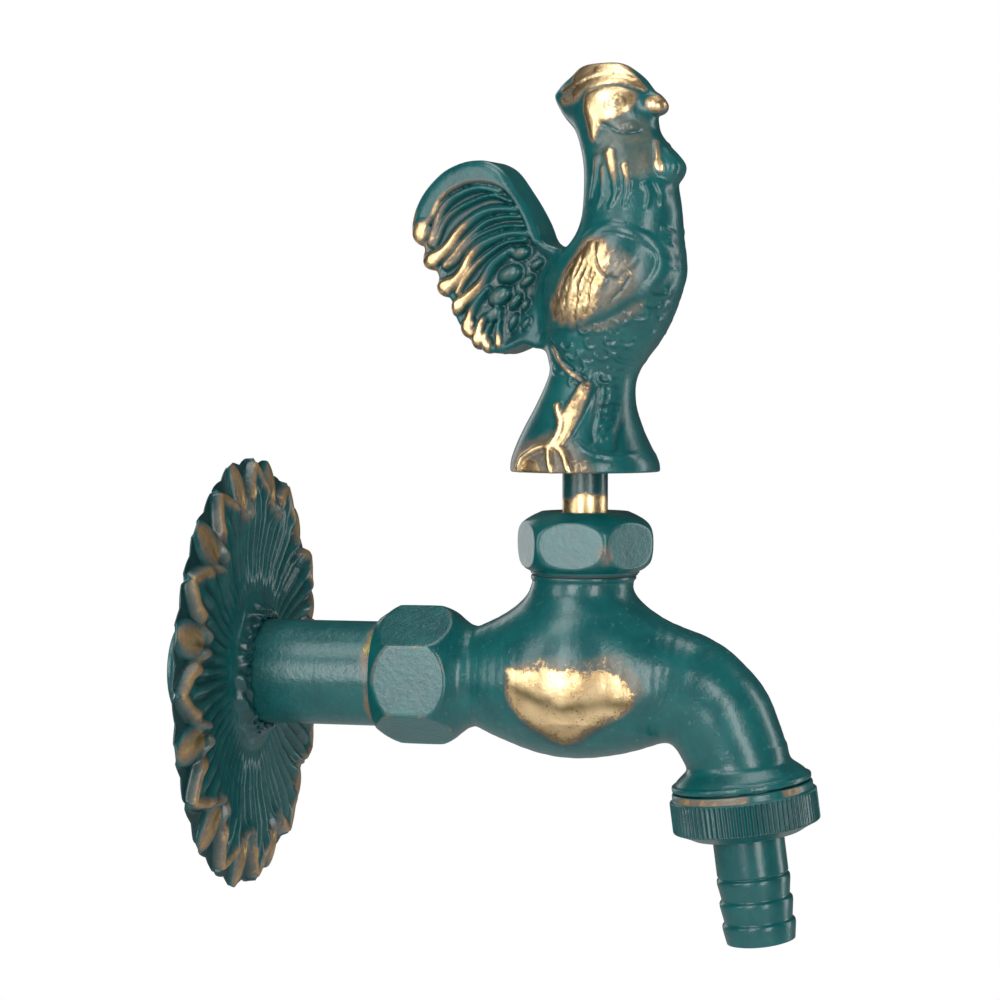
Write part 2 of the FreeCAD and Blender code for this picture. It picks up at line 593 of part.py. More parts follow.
def make_tap_body():
    body = new_body("tap_body")

    sections = []
    way = size("bonnet_x") - neck_start
    swell = size("bulb_r") - size("inlet_neck_r")
    for number, (along, grown) in enumerate(INLET_STATIONS):
        sections.append(round_section(body, "inlet_section_%d" % number, neck_start + way * along,
                                      0, 0, size("inlet_neck_r") + swell * grown, SKIN_SIDES))
    for number, share in enumerate(SPOUT_STATIONS):
        x, z, tilt, radius = spout_station(share)
        sections.append(round_section(body, "spout_section_%d" % number, x, z, tilt, radius,
                                      SKIN_SIDES))
    x, z, tilt = spout_end()
    sections.append(round_section(body, "spout_section_end", x, z, tilt, size("spout_end_r"),
                                  SKIN_SIDES))
    loft(body, "bulb_and_spout", sections, ruled=True)

    centre = size("bonnet_x")
    neck = new_sketch(body, "neck_profile", "XZ_Plane")
    add_axis(neck, (centre, 0), (centre, size("neck_top")))
    draw_outline(neck, [(centre, 0), (centre + size("shoulder_r"), 0),
                        (centre + size("collar_r"), size("collar_height")),
                        (centre + size("neck_r"), size("neck_foot")),
                        (centre + size("neck_r"), size("neck_top") - size("neck_lip_len")),
                        (centre + size("neck_lip_r"), size("neck_top")),
                        (centre, size("neck_top"))])
    revolve(body, "neck", neck, "Axis0")

    barrel = new_sketch(body, "inlet_hex_profile", "XZ_Plane")
    draw_outline(barrel, [(size("pipe_reach"), 0),
                          (size("pipe_reach"), size("inlet_hex_front_r")),
                          (size("pipe_reach") + size("inlet_hex_bevel"), size("inlet_hex_r")),
                          (hex_end, size("inlet_hex_r")),
                          (neck_start + size("lap"), size("inlet_neck_r")),
                          (neck_start + size("lap"), 0)])
    revolve(body, "inlet_hex_barrel", barrel, "H_Axis")
    flats = new_sketch(body, "inlet_hex_flats", "YZ_Plane")
    draw_circle(flats, (0, 0), size("inlet_hex_r") + size("blank_room"))
    draw_hexagon(flats, size("inlet_hex_af"), corner_up=True)
    pocket(body, "inlet_hex", flats, neck_start, forwards=True)

    flange = outlet_sketch(body, "outlet_profile")
    flare_top = size("flange_len") + size("flange_flare")
    draw_outline(flange, [(0, flare_top), (size("spout_end_r"), flare_top),
                          (size("flange_r") - size("flange_step"), size("flange_len")),
                          (size("flange_r"), size("flange_len")),
                          (size("flange_r"), 0),
                          (size("outlet_thread_r"), 0),
                          (size("outlet_thread_r"), -size("outlet_thread_len")),
                          (0, -size("outlet_thread_len"))])
    revolve(body, "outlet_flange", flange)

    socket = new_sketch(body, "inlet_bore_profile", "XZ_Plane")
    socket_end = size("pipe_reach") + size("pipe_socket_depth")
    socket_r = size("pipe_end_r") + size("thread_gap")
    draw_outline(socket, [(size("pipe_reach") - 1, 0), (size("pipe_reach") - 1, socket_r),
                          (socket_end, socket_r), (socket_end, size("inlet_bore_r")),
                          (size("inlet_bore_end"), size("inlet_bore_r")),
                          (size("inlet_bore_end"), 0)])
    revolve(body, "inlet_bore", socket, "H_Axis", cut=True)

    feed_run = size("bonnet_x") - size("feed_start")
    well = feed_run * tangent(size("feed_tilt"))
    column = new_sketch(body, "valve_chamber_profile", "XZ_Plane")
    add_axis(column, (centre, -well), (centre, size("neck_top")))
    thread_foot = size("neck_top") - size("neck_thread_len")
    thread_r = size("neck_thread_r")
    draw_outline(column, [(centre, -well - size("well_floor")),
                          (centre + size("orifice_r"), -well - size("well_floor")),
                          (centre + size("orifice_r"), size("seat_top")),
                          (centre + size("seat_r"), size("seat_top")),
                          (centre + size("seat_r"), size("chamber_floor")),
                          (centre + size("chamber_r"), size("chamber_floor")),
                          (centre + size("chamber_r"), thread_foot),
                          (centre + thread_r, thread_foot),
                          (centre + thread_r, size("neck_top") + 1),
                          (centre, size("neck_top") + 1)])
    revolve(body, "valve_chamber", column, "Axis0", cut=True)

    feed = round_section(body, "feed_circle", size("feed_start"), 0, size("feed_tilt"), size("feed_r"))
    pocket(body, "feed_passage", feed, feed_run * secant(size("feed_tilt")), forwards=True)

    port = round_section(body, "port_circle", centre + size("port_offset"), size("port_height"),
                         size("port_tilt"), size("port_r"), BORE_SIDES)
    passage = [port]
    for number, share in enumerate(SPOUT_STATIONS[1:]):
        x, z, tilt, _ = spout_station(share)
        passage.append(round_section(body, "passage_section_%d" % number, x, z, tilt,
                                     size("outlet_bore_r") * share[4], BORE_SIDES))
    x, z, tilt = spout_end()
    passage.append(round_section(body, "passage_section_end", x, z, tilt, size("outlet_bore_r"),
                                 BORE_SIDES))
    loft(body, "spout_passage", passage, cut=True, ruled=True)

    mouth = outlet_sketch(body, "outlet_bore_profile")
    draw_outline(mouth, [(0, flare_top), (size("outlet_bore_r"), flare_top),
                         (size("outlet_bore_r"), -size("outlet_thread_len") - 1),
                         (0, -size("outlet_thread_len") - 1)])
    revolve(body, "outlet_bore", mouth, cut=True)
    return body


def make_inlet_pipe():
    body = new_body("inlet_pipe")
    profile = new_sketch(body, "pipe_profile", "XZ_Plane")
    back = -size("pipe_thread_len")
    front = size("pipe_reach") + size("pipe_socket_depth")
    draw_outline(profile, [(back, size("pipe_bore_r")), (back, size("pipe_thread_r")),
                           (0, size("pipe_thread_r")), (0, size("pipe_r")),
                           (size("pipe_reach"), size("pipe_r")),
                           (size("pipe_reach"), size("pipe_end_r")),
                           (front, size("pipe_end_r")), (front, size("pipe_bore_r"))])
    revolve(body, "pipe", profile, "H_Axis")
    return body


def make_bonnet_washer():
    body = new_body("bonnet_washer")
    profile = new_sketch(body, "washer_profile", "XZ_Plane")
    inner = size("neck_thread_r") + size("thread_gap")
    outer = size("neck_lip_r") - size("bonnet_washer_inset")
    draw_outline(profile, [(inner, 0), (outer, 0), (outer, size("bonnet_washer_len")),
                           (inner, size("bonnet_washer_len"))])
    revolve(body, "washer", profile)
    place(body, size("bonnet_x"), size("neck_top"))
    return body


def make_bonnet():
    body = new_body("bonnet")
    thread_r = size("neck_thread_r") - size("thread_gap")
    thread_foot = size("bonnet_washer_len") + size("neck_thread_len") - size("thread_relief")
    nut_r = size("spindle_thread_r") + size("running_gap")
    nut_top = spindle_base + size("spindle_thread_len") + size("valve_travel") + size("lift_gap")
    step = nut_top - bonnet_base
    top = size("bonnet_len")
    profile = new_sketch(body, "bonnet_profile", "XZ_Plane")
    draw_outline(profile, [(nut_r, -thread_foot), (thread_r, -thread_foot), (thread_r, 0),
                           (size("bonnet_foot_r"), 0), (size("bonnet_r"), size("bonnet_foot")),
                           (size("bonnet_r"), top - size("bonnet_dome")),
                           (size("bonnet_top_r"), top), (stem_bore_r, top),
                           (stem_bore_r, step), (nut_r, step)])
    revolve(body, "bonnet_barrel", profile)
    flats = new_sketch(body, "bonnet_flats", "XY_Plane")
    draw_circle(flats, (0, 0), size("bonnet_r") + size("blank_room"))
    draw_hexagon(flats, size("bonnet_af"), corner_up=False)
    pocket(body, "bonnet_hex", flats, top, forwards=True)
    place(body, size("bonnet_x"), bonnet_base, (0, 0, 1), size("bonnet_clock"))
    return body


def ring_heights():
    """Heights of the two seal rings over the spindle's foot, the upper one first."""
    upper = (bonnet_top - size("valve_travel") - size("ring_drop")) - spindle_base
    return upper, upper - size("ring_pitch")


def make_spindle():
    body = new_body("spindle")
    stem_top = handle_base - spindle_base
    thread_len = size("spindle_thread_len")
    well_r = size("jumper_stem_r") + size("running_gap")
    well = size("jumper_stem_len") + size("lift_gap")
    stem = size("stem_r")
    profile = new_sketch(body, "spindle_profile", "XZ_Plane")
    draw_outline(profile, [(0, well), (well_r, well), (well_r, 0), (size("spindle_thread_r"), 0),
                           (size("spindle_thread_r"), thread_len), (stem, thread_len),
                           (stem, stem_top + size("tang_len")), (0, stem_top + size("tang_len"))])
    revolve(body, "spindle_stem", profile)

    groove_root = stem_bore_r - size("ring_fit") * 2 - size("ring_section")
    half_groove = size("ring_section") * 0.5 + size("ring_fit")
    grooves = new_sketch(body, "seal_groove_profiles", "XZ_Plane")
    for height in ring_heights():
        draw_outline(grooves, [(groove_root, height - half_groove), (stem + 1, height - half_groove),
                               (stem + 1, height + half_groove), (groove_root, height + half_groove)])
    revolve(body, "seal_grooves", grooves, cut=True)

    tang = new_sketch(body, "tang_square", "XY_Plane")
    shift_sketch(tang, (0, 0, stem_top))
    draw_circle(tang, (0, 0), stem + 2)
    half = size("tang_af") * 0.5
    draw_outline(tang, [(-half, -half), (half, -half), (half, half), (-half, half)])
    pocket(body, "tang", tang, size("tang_len"), forwards=True)
    place(body, size("bonnet_x"), spindle_base, (0, 0, 1), size("handle_yaw"))
    return body


def make_seal_ring(label, height):
    body = new_body(label)
    profile = new_sketch(body, "ring_profile", "XZ_Plane")
    outer = stem_bore_r - size("ring_fit")
    inner = outer - size("ring_section")
    half = size("ring_section") * 0.5
    draw_outline(profile, [(inner, -half), (outer, -half), (outer, half), (inner, half)])
    revolve(body, "ring", profile)
    place(body, size("bonnet_x"), spindle_base + height)
    return body


def make_jumper_valve():
    body = new_body("jumper_valve")
    stud_foot = size("tap_washer_len") + size("washer_nut_len") + size("stud_stand")
    stem_top = size("plate_len") + size("jumper_stem_len")
    profile = new_sketch(body, "jumper_profile", "XZ_Plane")
    draw_outline(profile, [(0, -stud_foot), (size("stud_r"), -stud_foot), (size("stud_r"), 0),
                           (size("plate_r"), 0), (size("plate_r"), size("plate_len")),
                           (size("jumper_stem_r"), size("plate_len")),
                           (size("jumper_stem_r"), stem_top), (0, stem_top)])
    revolve(body, "jumper", profile)
    place(body, size("bonnet_x"), plate_base)
    return body


def make_tap_washer():
    body = new_body("tap_washer")
    profile = new_sketch(body, "washer_profile", "XZ_Plane")
    inner = size("stud_r") + size("thread_gap")
    outer = size("plate_r") - size("washer_inset")
    draw_outline(profile, [(inner, 0), (outer, 0), (outer, size("tap_washer_len")),
                           (inner, size("tap_washer_len"))])
    revolve(body, "washer", profile)
    place(body, size("bonnet_x"), washer_base)
    return body


def make_washer_nut():
    body = new_body("washer_nut")
    outline = new_sketch(body, "nut_outline", "XY_Plane")
    draw_hexagon(outline, size("washer_nut_af"), corner_up=True)
    draw_circle(outline, (0, 0), size("stud_r") + size("thread_gap"))
    pad(body, "nut", outline, size("washer_nut_len"))
    place(body, size("bonnet_x"), washer_base - size("washer_nut_len"))
    return body


def make_union_nut():
    body = new_body("union_nut")
    inner = size("outlet_thread_r") + size("running_gap")
    hole = size("barb_r") + size("union_hole_gap")
    top = -size("face_gap")
    foot = size("union_foot")
    knurl_top = top - size("union_top_ring")
    knurl_foot = knurl_top - size("union_knurl_len")
    profile = new_sketch(body, "union_profile", "XZ_Plane")
    draw_outline(profile, [(inner, top), (size("union_r"), top), (size("union_r"), knurl_top),
                           (size("union_knurl_r"), knurl_top), (size("union_knurl_r"), knurl_foot),
                           (size("union_r"), knurl_foot), (size("union_r"), -union_base + foot),
                           (size("union_foot_r"), -union_base), (hole, -union_base),
                           (hole, -union_shoulder_top), (inner, -union_shoulder_top)])
    revolve(body, "union_ring", profile)

    notch = new_sketch(body, "knurl_notch", "XY_Plane")
    shift_sketch(notch, (0, 0, knurl_top))
    root = size("union_knurl_r") - size("knurl_depth")
    rim = size("union_knurl_r") + size("lap")
    half = rim * tangent(half_pitch(size("knurl_count")))
    steep = 1 + size("lap").value / size("knurl_depth").value
    draw_outline(notch, [(root, 0), (rim, -half * steep), (rim, half * steep)])
    cut = pocket(body, "knurl_cut", notch, size("union_knurl_len"))
    polar_pattern(body, "knurl", [cut], notch, "N_Axis", size("knurl_count"))
    place(body, **outlet_place)
    return body


def make_hose_washer():
    body = new_body("hose_washer")
    profile = new_sketch(body, "washer_profile", "XZ_Plane")
    top = -hose_washer_top
    foot = top - size("hose_washer_len")
    inner = size("tail_bore_r") + size("hose_washer_hole")
    outer = size("outlet_thread_r") - size("hose_washer_inset")
    draw_outline(profile, [(inner, foot), (outer, foot), (outer, top), (inner, top)])
    revolve(body, "washer", profile)
    place(body, **outlet_place)
    return body


def make_hose_tail():
    body = new_body("hose_tail")
    neck = size("tail_neck_r")
    barbs_top = union_base + size("tail_neck_len")
    foot = -(tail_top + size("tail_flange_len"))
    points = [(size("tail_bore_r"), -tail_top), (size("tail_flange_r"), -tail_top),
              (size("tail_flange_r"), foot), (neck, foot), (neck, -barbs_top)]
    count = int(size("barb_count").value)
    for number in range(count):
        top = -(barbs_top + size("barb_len") * number)
        points.append((size("barb_r"), top))
        points.append((size("barb_r"), top - size("barb_land")))
        if number < count - 1:
            points.append((size("barb_root_r"), top - size("barb_len")))
    nose = -(barbs_top + size("barb_len") * count)
    points.append((size("tail_nose_r"), nose))
    points.append((size("tail_bore_r"), nose))
    profile = new_sketch(body, "tail_profile", "XZ_Plane")
    draw_outline(profile, points)
    revolve(body, "tail", profile)
    place(body, **outlet_place)
    return body


def make_wall_rosette():
    body = new_body("wall_rosette")
    bore = size("pipe_r") + size("running_gap")
    wall = size("rosette_wall")
    outer, crest_r = size("rosette_r"), size("rosette_crest_r")
    notch_r, dish_r = size("rosette_notch_r"), size("rosette_dish_r")
    dish = new_sketch(body, "dish_profile", "XZ_Plane")
    draw_outline(dish, [(0, outer - wall), (0, outer), (size("rosette_rim"), outer),
                        (size("rosette_floor"), crest_r),
                        (size("rosette_floor"), dish_r),
                        (size("rosette_collar"), size("rosette_collar_r")),
                        (size("rosette_collar"), bore),
                        (size("rosette_floor") - wall, bore),
                        (size("rosette_floor") - wall, outer - wall)])
    revolve(body, "dish", dish, "H_Axis")

    half_turn = 180 / size("petal_count").value
    lean = math.radians(half_turn * PETAL_LEAN)
    width, lap = size("petal_ridge"), size("lap")
    fork = size("petal_fork")
    ridge = new_sketch(body, "petal_edge", "YZ_Plane")
    shift_sketch(ridge, (0, 0, size("rosette_floor") - size("petal_sink")))
    arm_y, arm_z = round(math.sin(lean), 6), round(math.cos(lean), 6)
    heel_r = notch_r - width
    draw_outline(ridge, [(0, crest_r + lap),
                         (notch_r * arm_y, notch_r * arm_z + fork),
                         (heel_r * arm_y, heel_r * arm_z - fork),
                         (0, crest_r - width * TIP_SHARE),
                         (-heel_r * arm_y, heel_r * arm_z - fork),
                         (-notch_r * arm_y, notch_r * arm_z + fork)])
    edge = pad(body, "petal_edge_pad", ridge,
               size("rosette_crest") - size("rosette_floor") + size("petal_sink"))

    low = new_sketch(body, "lower_petal", "YZ_Plane")
    shift_sketch(low, (0, 0, size("rosette_rim") - size("lower_sink")), (0, 0, 1), half_turn)
    widest_r = outer - size("lower_nose")
    draw_outline(low, [(0, outer - size("lower_inset")), (size("lower_half"), widest_r),
                       (0, notch_r + size("lower_heel")), (-size("lower_half"), widest_r)])
    lozenge = pad(body, "lower_petal_pad", low,
                  size("rosette_floor") - size("rosette_rim") + size("lower_stand"))

    flutes = new_sketch(body, "flute_outlines", "YZ_Plane")
    shift_sketch(flutes, (0, 0, size("rosette_floor") - size("flute_depth")))
    half, foot_r = size("flute_half"), dish_r + size("flute_start")
    for step, outward in FLUTES:
        lean = math.radians(half_turn * step)
        reach = notch_r + (crest_r - notch_r) * outward
        side_y, side_z = round(math.sin(lean), 6), round(math.cos(lean), 6)
        draw_outline(flutes, [(reach * side_y - half * side_z, reach * side_z + half * side_y),
                              (dish_r * side_y, foot_r * side_z),
                              (reach * side_y + half * side_z, reach * side_z - half * side_y)])
    flute = pocket(body, "flutes", flutes, size("rosette_floor"), forwards=True)
    polar_pattern(body, "petals", [edge, lozenge, flute], ridge, "N_Axis", size("petal_count"))
    return body


def make_rooster_handle():
    body = new_body("rooster_handle")
    rim, waist = size("handle_rim"), size("handle_waist_r")
    foot = new_sketch(body, "base_profile", "XZ_Plane")
    draw_outline(foot, [(0, 0), (size("handle_base_r"), 0), (size("handle_base_r"), rim),
                        (size("handle_bell_r"), size("handle_bell")),
                        (waist, size("handle_flare")), (0, size("handle_flare"))])
    revolve(body, "base", foot)

    sections = []
    for name, *_ in COCKEREL:
        oval = new_sketch(body, name + "_section", "XY_Plane")
        shift_sketch(oval, (0, 0, size(name + "_height")))
        draw_oval(oval, (size(name + "_middle"), as_size(0)), size(name + "_long"),
                  size(name + "_wide"), COCKEREL_SIDES)
        sections.append(oval)
    loft(body, "cockerel", sections, ruled=True)

    half_tail = size("tail_plate") * 0.5
    tail = new_sketch(body, "tail_outline", "XZ_Plane")
    draw_rows(tail, TAIL_OUTLINE)
    pad(body, "tail", tail, size("tail_plate"), both_sides=True)

    comb = new_sketch(body, "comb_outline", "XZ_Plane")
    draw_rows(comb, COMB_OUTLINE)
    pad(body, "comb", comb, size("comb_plate"), both_sides=True)

    wings = new_sketch(body, "wing_outline", "XZ_Plane")
    draw_rows(wings, WING_OUTLINE)
    pad(body, "wings", wings, (size("breast_wide") + size("wing_stand")) * 2, both_sides=True)

    beak = new_sketch(body, "beak_profile", "XZ_Plane")
    root = size("cheek_middle") + size("cheek_long") - size("beak_root")
    level = size("cheek_height") - size("beak_drop")
    add_axis(beak, (root, level), (root + size("beak_len"), level))
    draw_outline(beak, [(root, level), (root, level + size("beak_r")),
                        (root + size("beak_len") * 0.7, level + size("beak_r") * 0.55),
                        (root + size("beak_len"), level)])
    revolve(body, "beak", beak, "Axis0")

    lobes = new_sketch(body, "wattle_outline", "XZ_Plane")
    draw_rows(lobes, WATTLE_OUTLINE)
    pad(body, "wattles", lobes, size("wattle_plate"), both_sides=True)

    for side, forwards in ((-1, False), (1, True)):
        grooves = new_sketch(body, "feather_grooves_%s" % ("near" if side < 0 else "far"), "XZ_Plane")
        shift_sketch(grooves, (0, 0, half_tail * -side))
        for (root_u, root_w), (tip_u, tip_w), radius, width in TAIL_GROOVES:
            draw_rows(grooves, [(root_u, root_w, radius), (tip_u, tip_w, None),
                                (tip_u + width * GROOVE_LEAN, tip_w + width, -radius),
                                (root_u, root_w + width, None)])
        pocket(body, "feathers_%s" % ("near" if side < 0 else "far"), grooves,
               size("feather_depth"), forwards=forwards)

    socket = new_sketch(body, "socket_square", "XY_Plane")
    half = size("tang_af") * 0.5 + size("running_gap")
    draw_outline(socket, [(-half, -half), (half, -half), (half, half), (-half, half)])
    pocket(body, "socket", socket, size("tang_len") + size("lift_gap"), forwards=True)

    hole = new_sketch(body, "set_screw_circle", "XZ_Plane")
    draw_circle(hole, (0, size("screw_height")), size("screw_r") + size("thread_gap"))
    pocket(body, "set_screw_hole", hole, size("handle_base_r") + 1)
    place(body, size("bonnet_x"), handle_base, (0, 0, 1), size("handle_yaw"))
    return body


def make_handle_set_screw():
    body = new_body("handle_set_screw")
    outline = new_sketch(body, "screw_circle", "XZ_Plane")
    shift_sketch(outline, (0, 0, -(size("tang_af") * 0.5)))
    draw_circle(outline, (0, size("screw_height")), size("screw_r"))
    pad(body, "screw", outline, size("screw_len"), backwards=True)
    key = new_sketch(body, "key_hexagon", "XZ_Plane")
    shift_sketch(key, (0, size("screw_height"), -(size("tang_af") * 0.5) - size("screw_len")))
    draw_hexagon(key, size("screw_r"), corner_up=True)
    pocket(body, "key_recess", key, size("screw_r"), forwards=True)
    place(body, size("bonnet_x"), handle_base, (0, 0, 1), size("handle_yaw"))
    return body


upper_ring, lower_ring = ring_heights()
PIECES = [
    make_tap_body(), make_inlet_pipe(), make_bonnet_washer(), make_bonnet(), make_spindle(),
    make_seal_ring("spindle_oring_upper", upper_ring),
    make_seal_ring("spindle_oring_lower", lower_ring),
    make_jumper_valve(), make_tap_washer(), make_washer_nut(), make_union_nut(),
    make_hose_washer(), make_hose_tail(), make_wall_rosette(), make_rooster_handle(),
    make_handle_set_screw(),
]
doc.recompute()

for item in doc.Objects:
    if "Invalid" in item.State or "Error" in item.State:
        raise RuntimeError("%s failed: %s" % (item.Name, item.State))
for piece in PIECES:
    if piece.Shape.isNull() or not piece.Shape.isValid() or len(piece.Shape.Solids) != 1:
        raise RuntimeError("%s is not one valid solid" % piece.Label)

os.makedirs("parts", exist_ok=True)
for piece in PIECES:
    piece.Shape.exportStep(os.path.join("parts", piece.Label + ".step"))
    print("%s: %.1f cubic millimetres" % (piece.Label, piece.Shape.Volume))
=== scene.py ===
import math

import bpy
import numpy as np
from mathutils import Matrix, Vector


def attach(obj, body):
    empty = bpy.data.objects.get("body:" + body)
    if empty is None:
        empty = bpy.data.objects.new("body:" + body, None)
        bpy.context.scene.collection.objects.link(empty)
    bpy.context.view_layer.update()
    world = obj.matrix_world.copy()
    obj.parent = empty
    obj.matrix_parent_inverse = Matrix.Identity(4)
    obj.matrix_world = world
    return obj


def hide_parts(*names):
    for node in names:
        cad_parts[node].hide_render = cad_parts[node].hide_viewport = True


bl_info = {
    "name": "Cockerel Garden Tap",
    "version": (1, 0, 0),
    "blender": (4, 5, 0),
    "location": "View3D > Sidebar > Garden Tap",
    "description": "Dresses the packed garden tap: casting relief, worn paint, stage and light",
    "category": "Object",
}

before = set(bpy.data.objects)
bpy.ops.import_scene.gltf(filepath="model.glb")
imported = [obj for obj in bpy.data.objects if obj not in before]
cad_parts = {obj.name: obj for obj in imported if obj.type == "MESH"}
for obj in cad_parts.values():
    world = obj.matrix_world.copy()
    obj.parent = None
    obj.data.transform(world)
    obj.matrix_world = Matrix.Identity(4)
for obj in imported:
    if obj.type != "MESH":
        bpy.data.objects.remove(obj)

MM = 0.001

# Places shared by several pieces, in millimetres in the shared frame
BONNET_X = 74.0
BONNET_BASE = 22.2
BONNET_YAW = -3.0
HANDLE_FOOT = 42.5
HANDLE_YAW = -18.0
OUTLET = (106.2, 0.0, -20.25)
OUTLET_TILT = 7.4

# Turns that lay the Z axis along the pipe, and along the outlet, down and away
ALONG_PIPE = Matrix.Rotation(math.radians(90), 4, "Y")
ALONG_OUTLET = Matrix.Rotation(math.radians(180 - OUTLET_TILT), 4, "Y")

# Points round a full turn
HEX_SIDES = 288
ROUND_SIDES = 192
STEM_SIDES = 128

ROSETTE_PETALS = 12
KNURL_LINES = 84

# Piece: its body, CAD node, material slot and paint
PIECES = {
    "cockerel_casting": ("handle", "rooster_handle", "cockerel_green", "cockerel_paint"),
    "body_casting": ("tap", "tap_body", "body_green", "body_paint"),
    "inlet_hexagon": ("tap", "tap_body", "body_green", "body_paint"),
    "outlet_thread": ("tap", "tap_body", "body_green", "body_paint"),
    "bonnet_nut": ("tap", "bonnet", "bonnet_green", "bonnet_paint"),
    "spindle_stem": ("handle", "spindle", "spindle_brass", "stem_paint"),
    "inlet_pipe_tube": ("tap", "inlet_pipe", "pipe_green", "pipe_paint"),
    "rosette_plate": ("rosette", "wall_rosette", "rosette_green", "rosette_paint"),
    "union_ring": ("union", "union_nut", "union_green", "union_paint"),
    "hose_tail_barbed": ("tail", "hose_tail", "tail_green", "tail_paint"),
}
SHARP_ANGLE = 35


# ---------------------------------------------------------------- shaping tools

def smooth_line(points, per=6, closed=False):
    """Points along a soft curve through the given ones."""
    knots = np.asarray(points, float)
    if len(knots) < 3:
        share = np.linspace(0, 1, per + 1)[:, None]
        return knots[0] * (1 - share) + knots[-1] * share
    if closed:
        padded = np.vstack([knots[-1], knots, knots[:2]])
    else:
        padded = np.vstack([2 * knots[0] - knots[1], knots, 2 * knots[-1] - knots[-2]])
    out = []
    for i in range(1, len(padded) - 2):
        p0, p1, p2, p3 = padded[i - 1:i + 3]
        for t in np.arange(per) / per:
            out.append(0.5 * (2 * p1 + (p2 - p0) * t + (2 * p0 - 5 * p1 + 4 * p2 - p3) * t * t
                              + (3 * p1 - p0 - 3 * p2 + p3) * t ** 3))
    if not closed:
        out.append(knots[-1])
    return np.array(out)


def soft_step(low, high, value):
    share = np.clip((value - low) / (high - low), 0, 1)
    return share * share * (3 - 2 * share)


def soft_min(a, b, blend):
    """Smaller of two fields, with a rounded inside corner."""
    share = np.clip(0.5 + 0.5 * (b - a) / blend, 0, 1)
    return b + (a - b) * share - blend * share * (1 - share)


def soft_max(a, b, blend):
    return -soft_min(-a, -b, blend)


def line_distance(x, y, points):
    """Distance to a broken line and how far along it the nearest point lies, from 0 to 1."""
    best = np.full(x.shape, 1e9)
    along = np.zeros(x.shape)
    lengths = np.hypot(*(np.diff(points, axis=0).T))
    run = np.concatenate([[0], np.cumsum(lengths)])
    for i in range(len(points) - 1):
        ax, ay = points[i]
        bx, by = points[i + 1]
        size = lengths[i] ** 2 or 1e-9
        t = np.clip(((x - ax) * (bx - ax) + (y - ay) * (by - ay)) / size, 0, 1)
        away = (x - ax - t * (bx - ax)) ** 2 + (y - ay - t * (by - ay)) ** 2
        nearer = away < best
        best = np.where(nearer, away, best)
        along = np.where(nearer, (run[i] + t * lengths[i]) / run[-1], along)
    return np.sqrt(best), along


def outline_distance(x, y, points):
    """Signed distance to a closed outline, negative inside."""
    loop = np.vstack([points, points[:1]])
    away, _ = line_distance(x, y, loop)
    inside = np.zeros(x.shape, bool)
    for (ax, ay), (bx, by) in zip(loop[:-1], loop[1:]):
        if ay == by:
            continue
        spans = (ay > y) != (by > y)
        inside ^= spans & (x < ax + (y - ay) * (bx - ax) / (by - ay))
    return np.where(inside, -away, away)


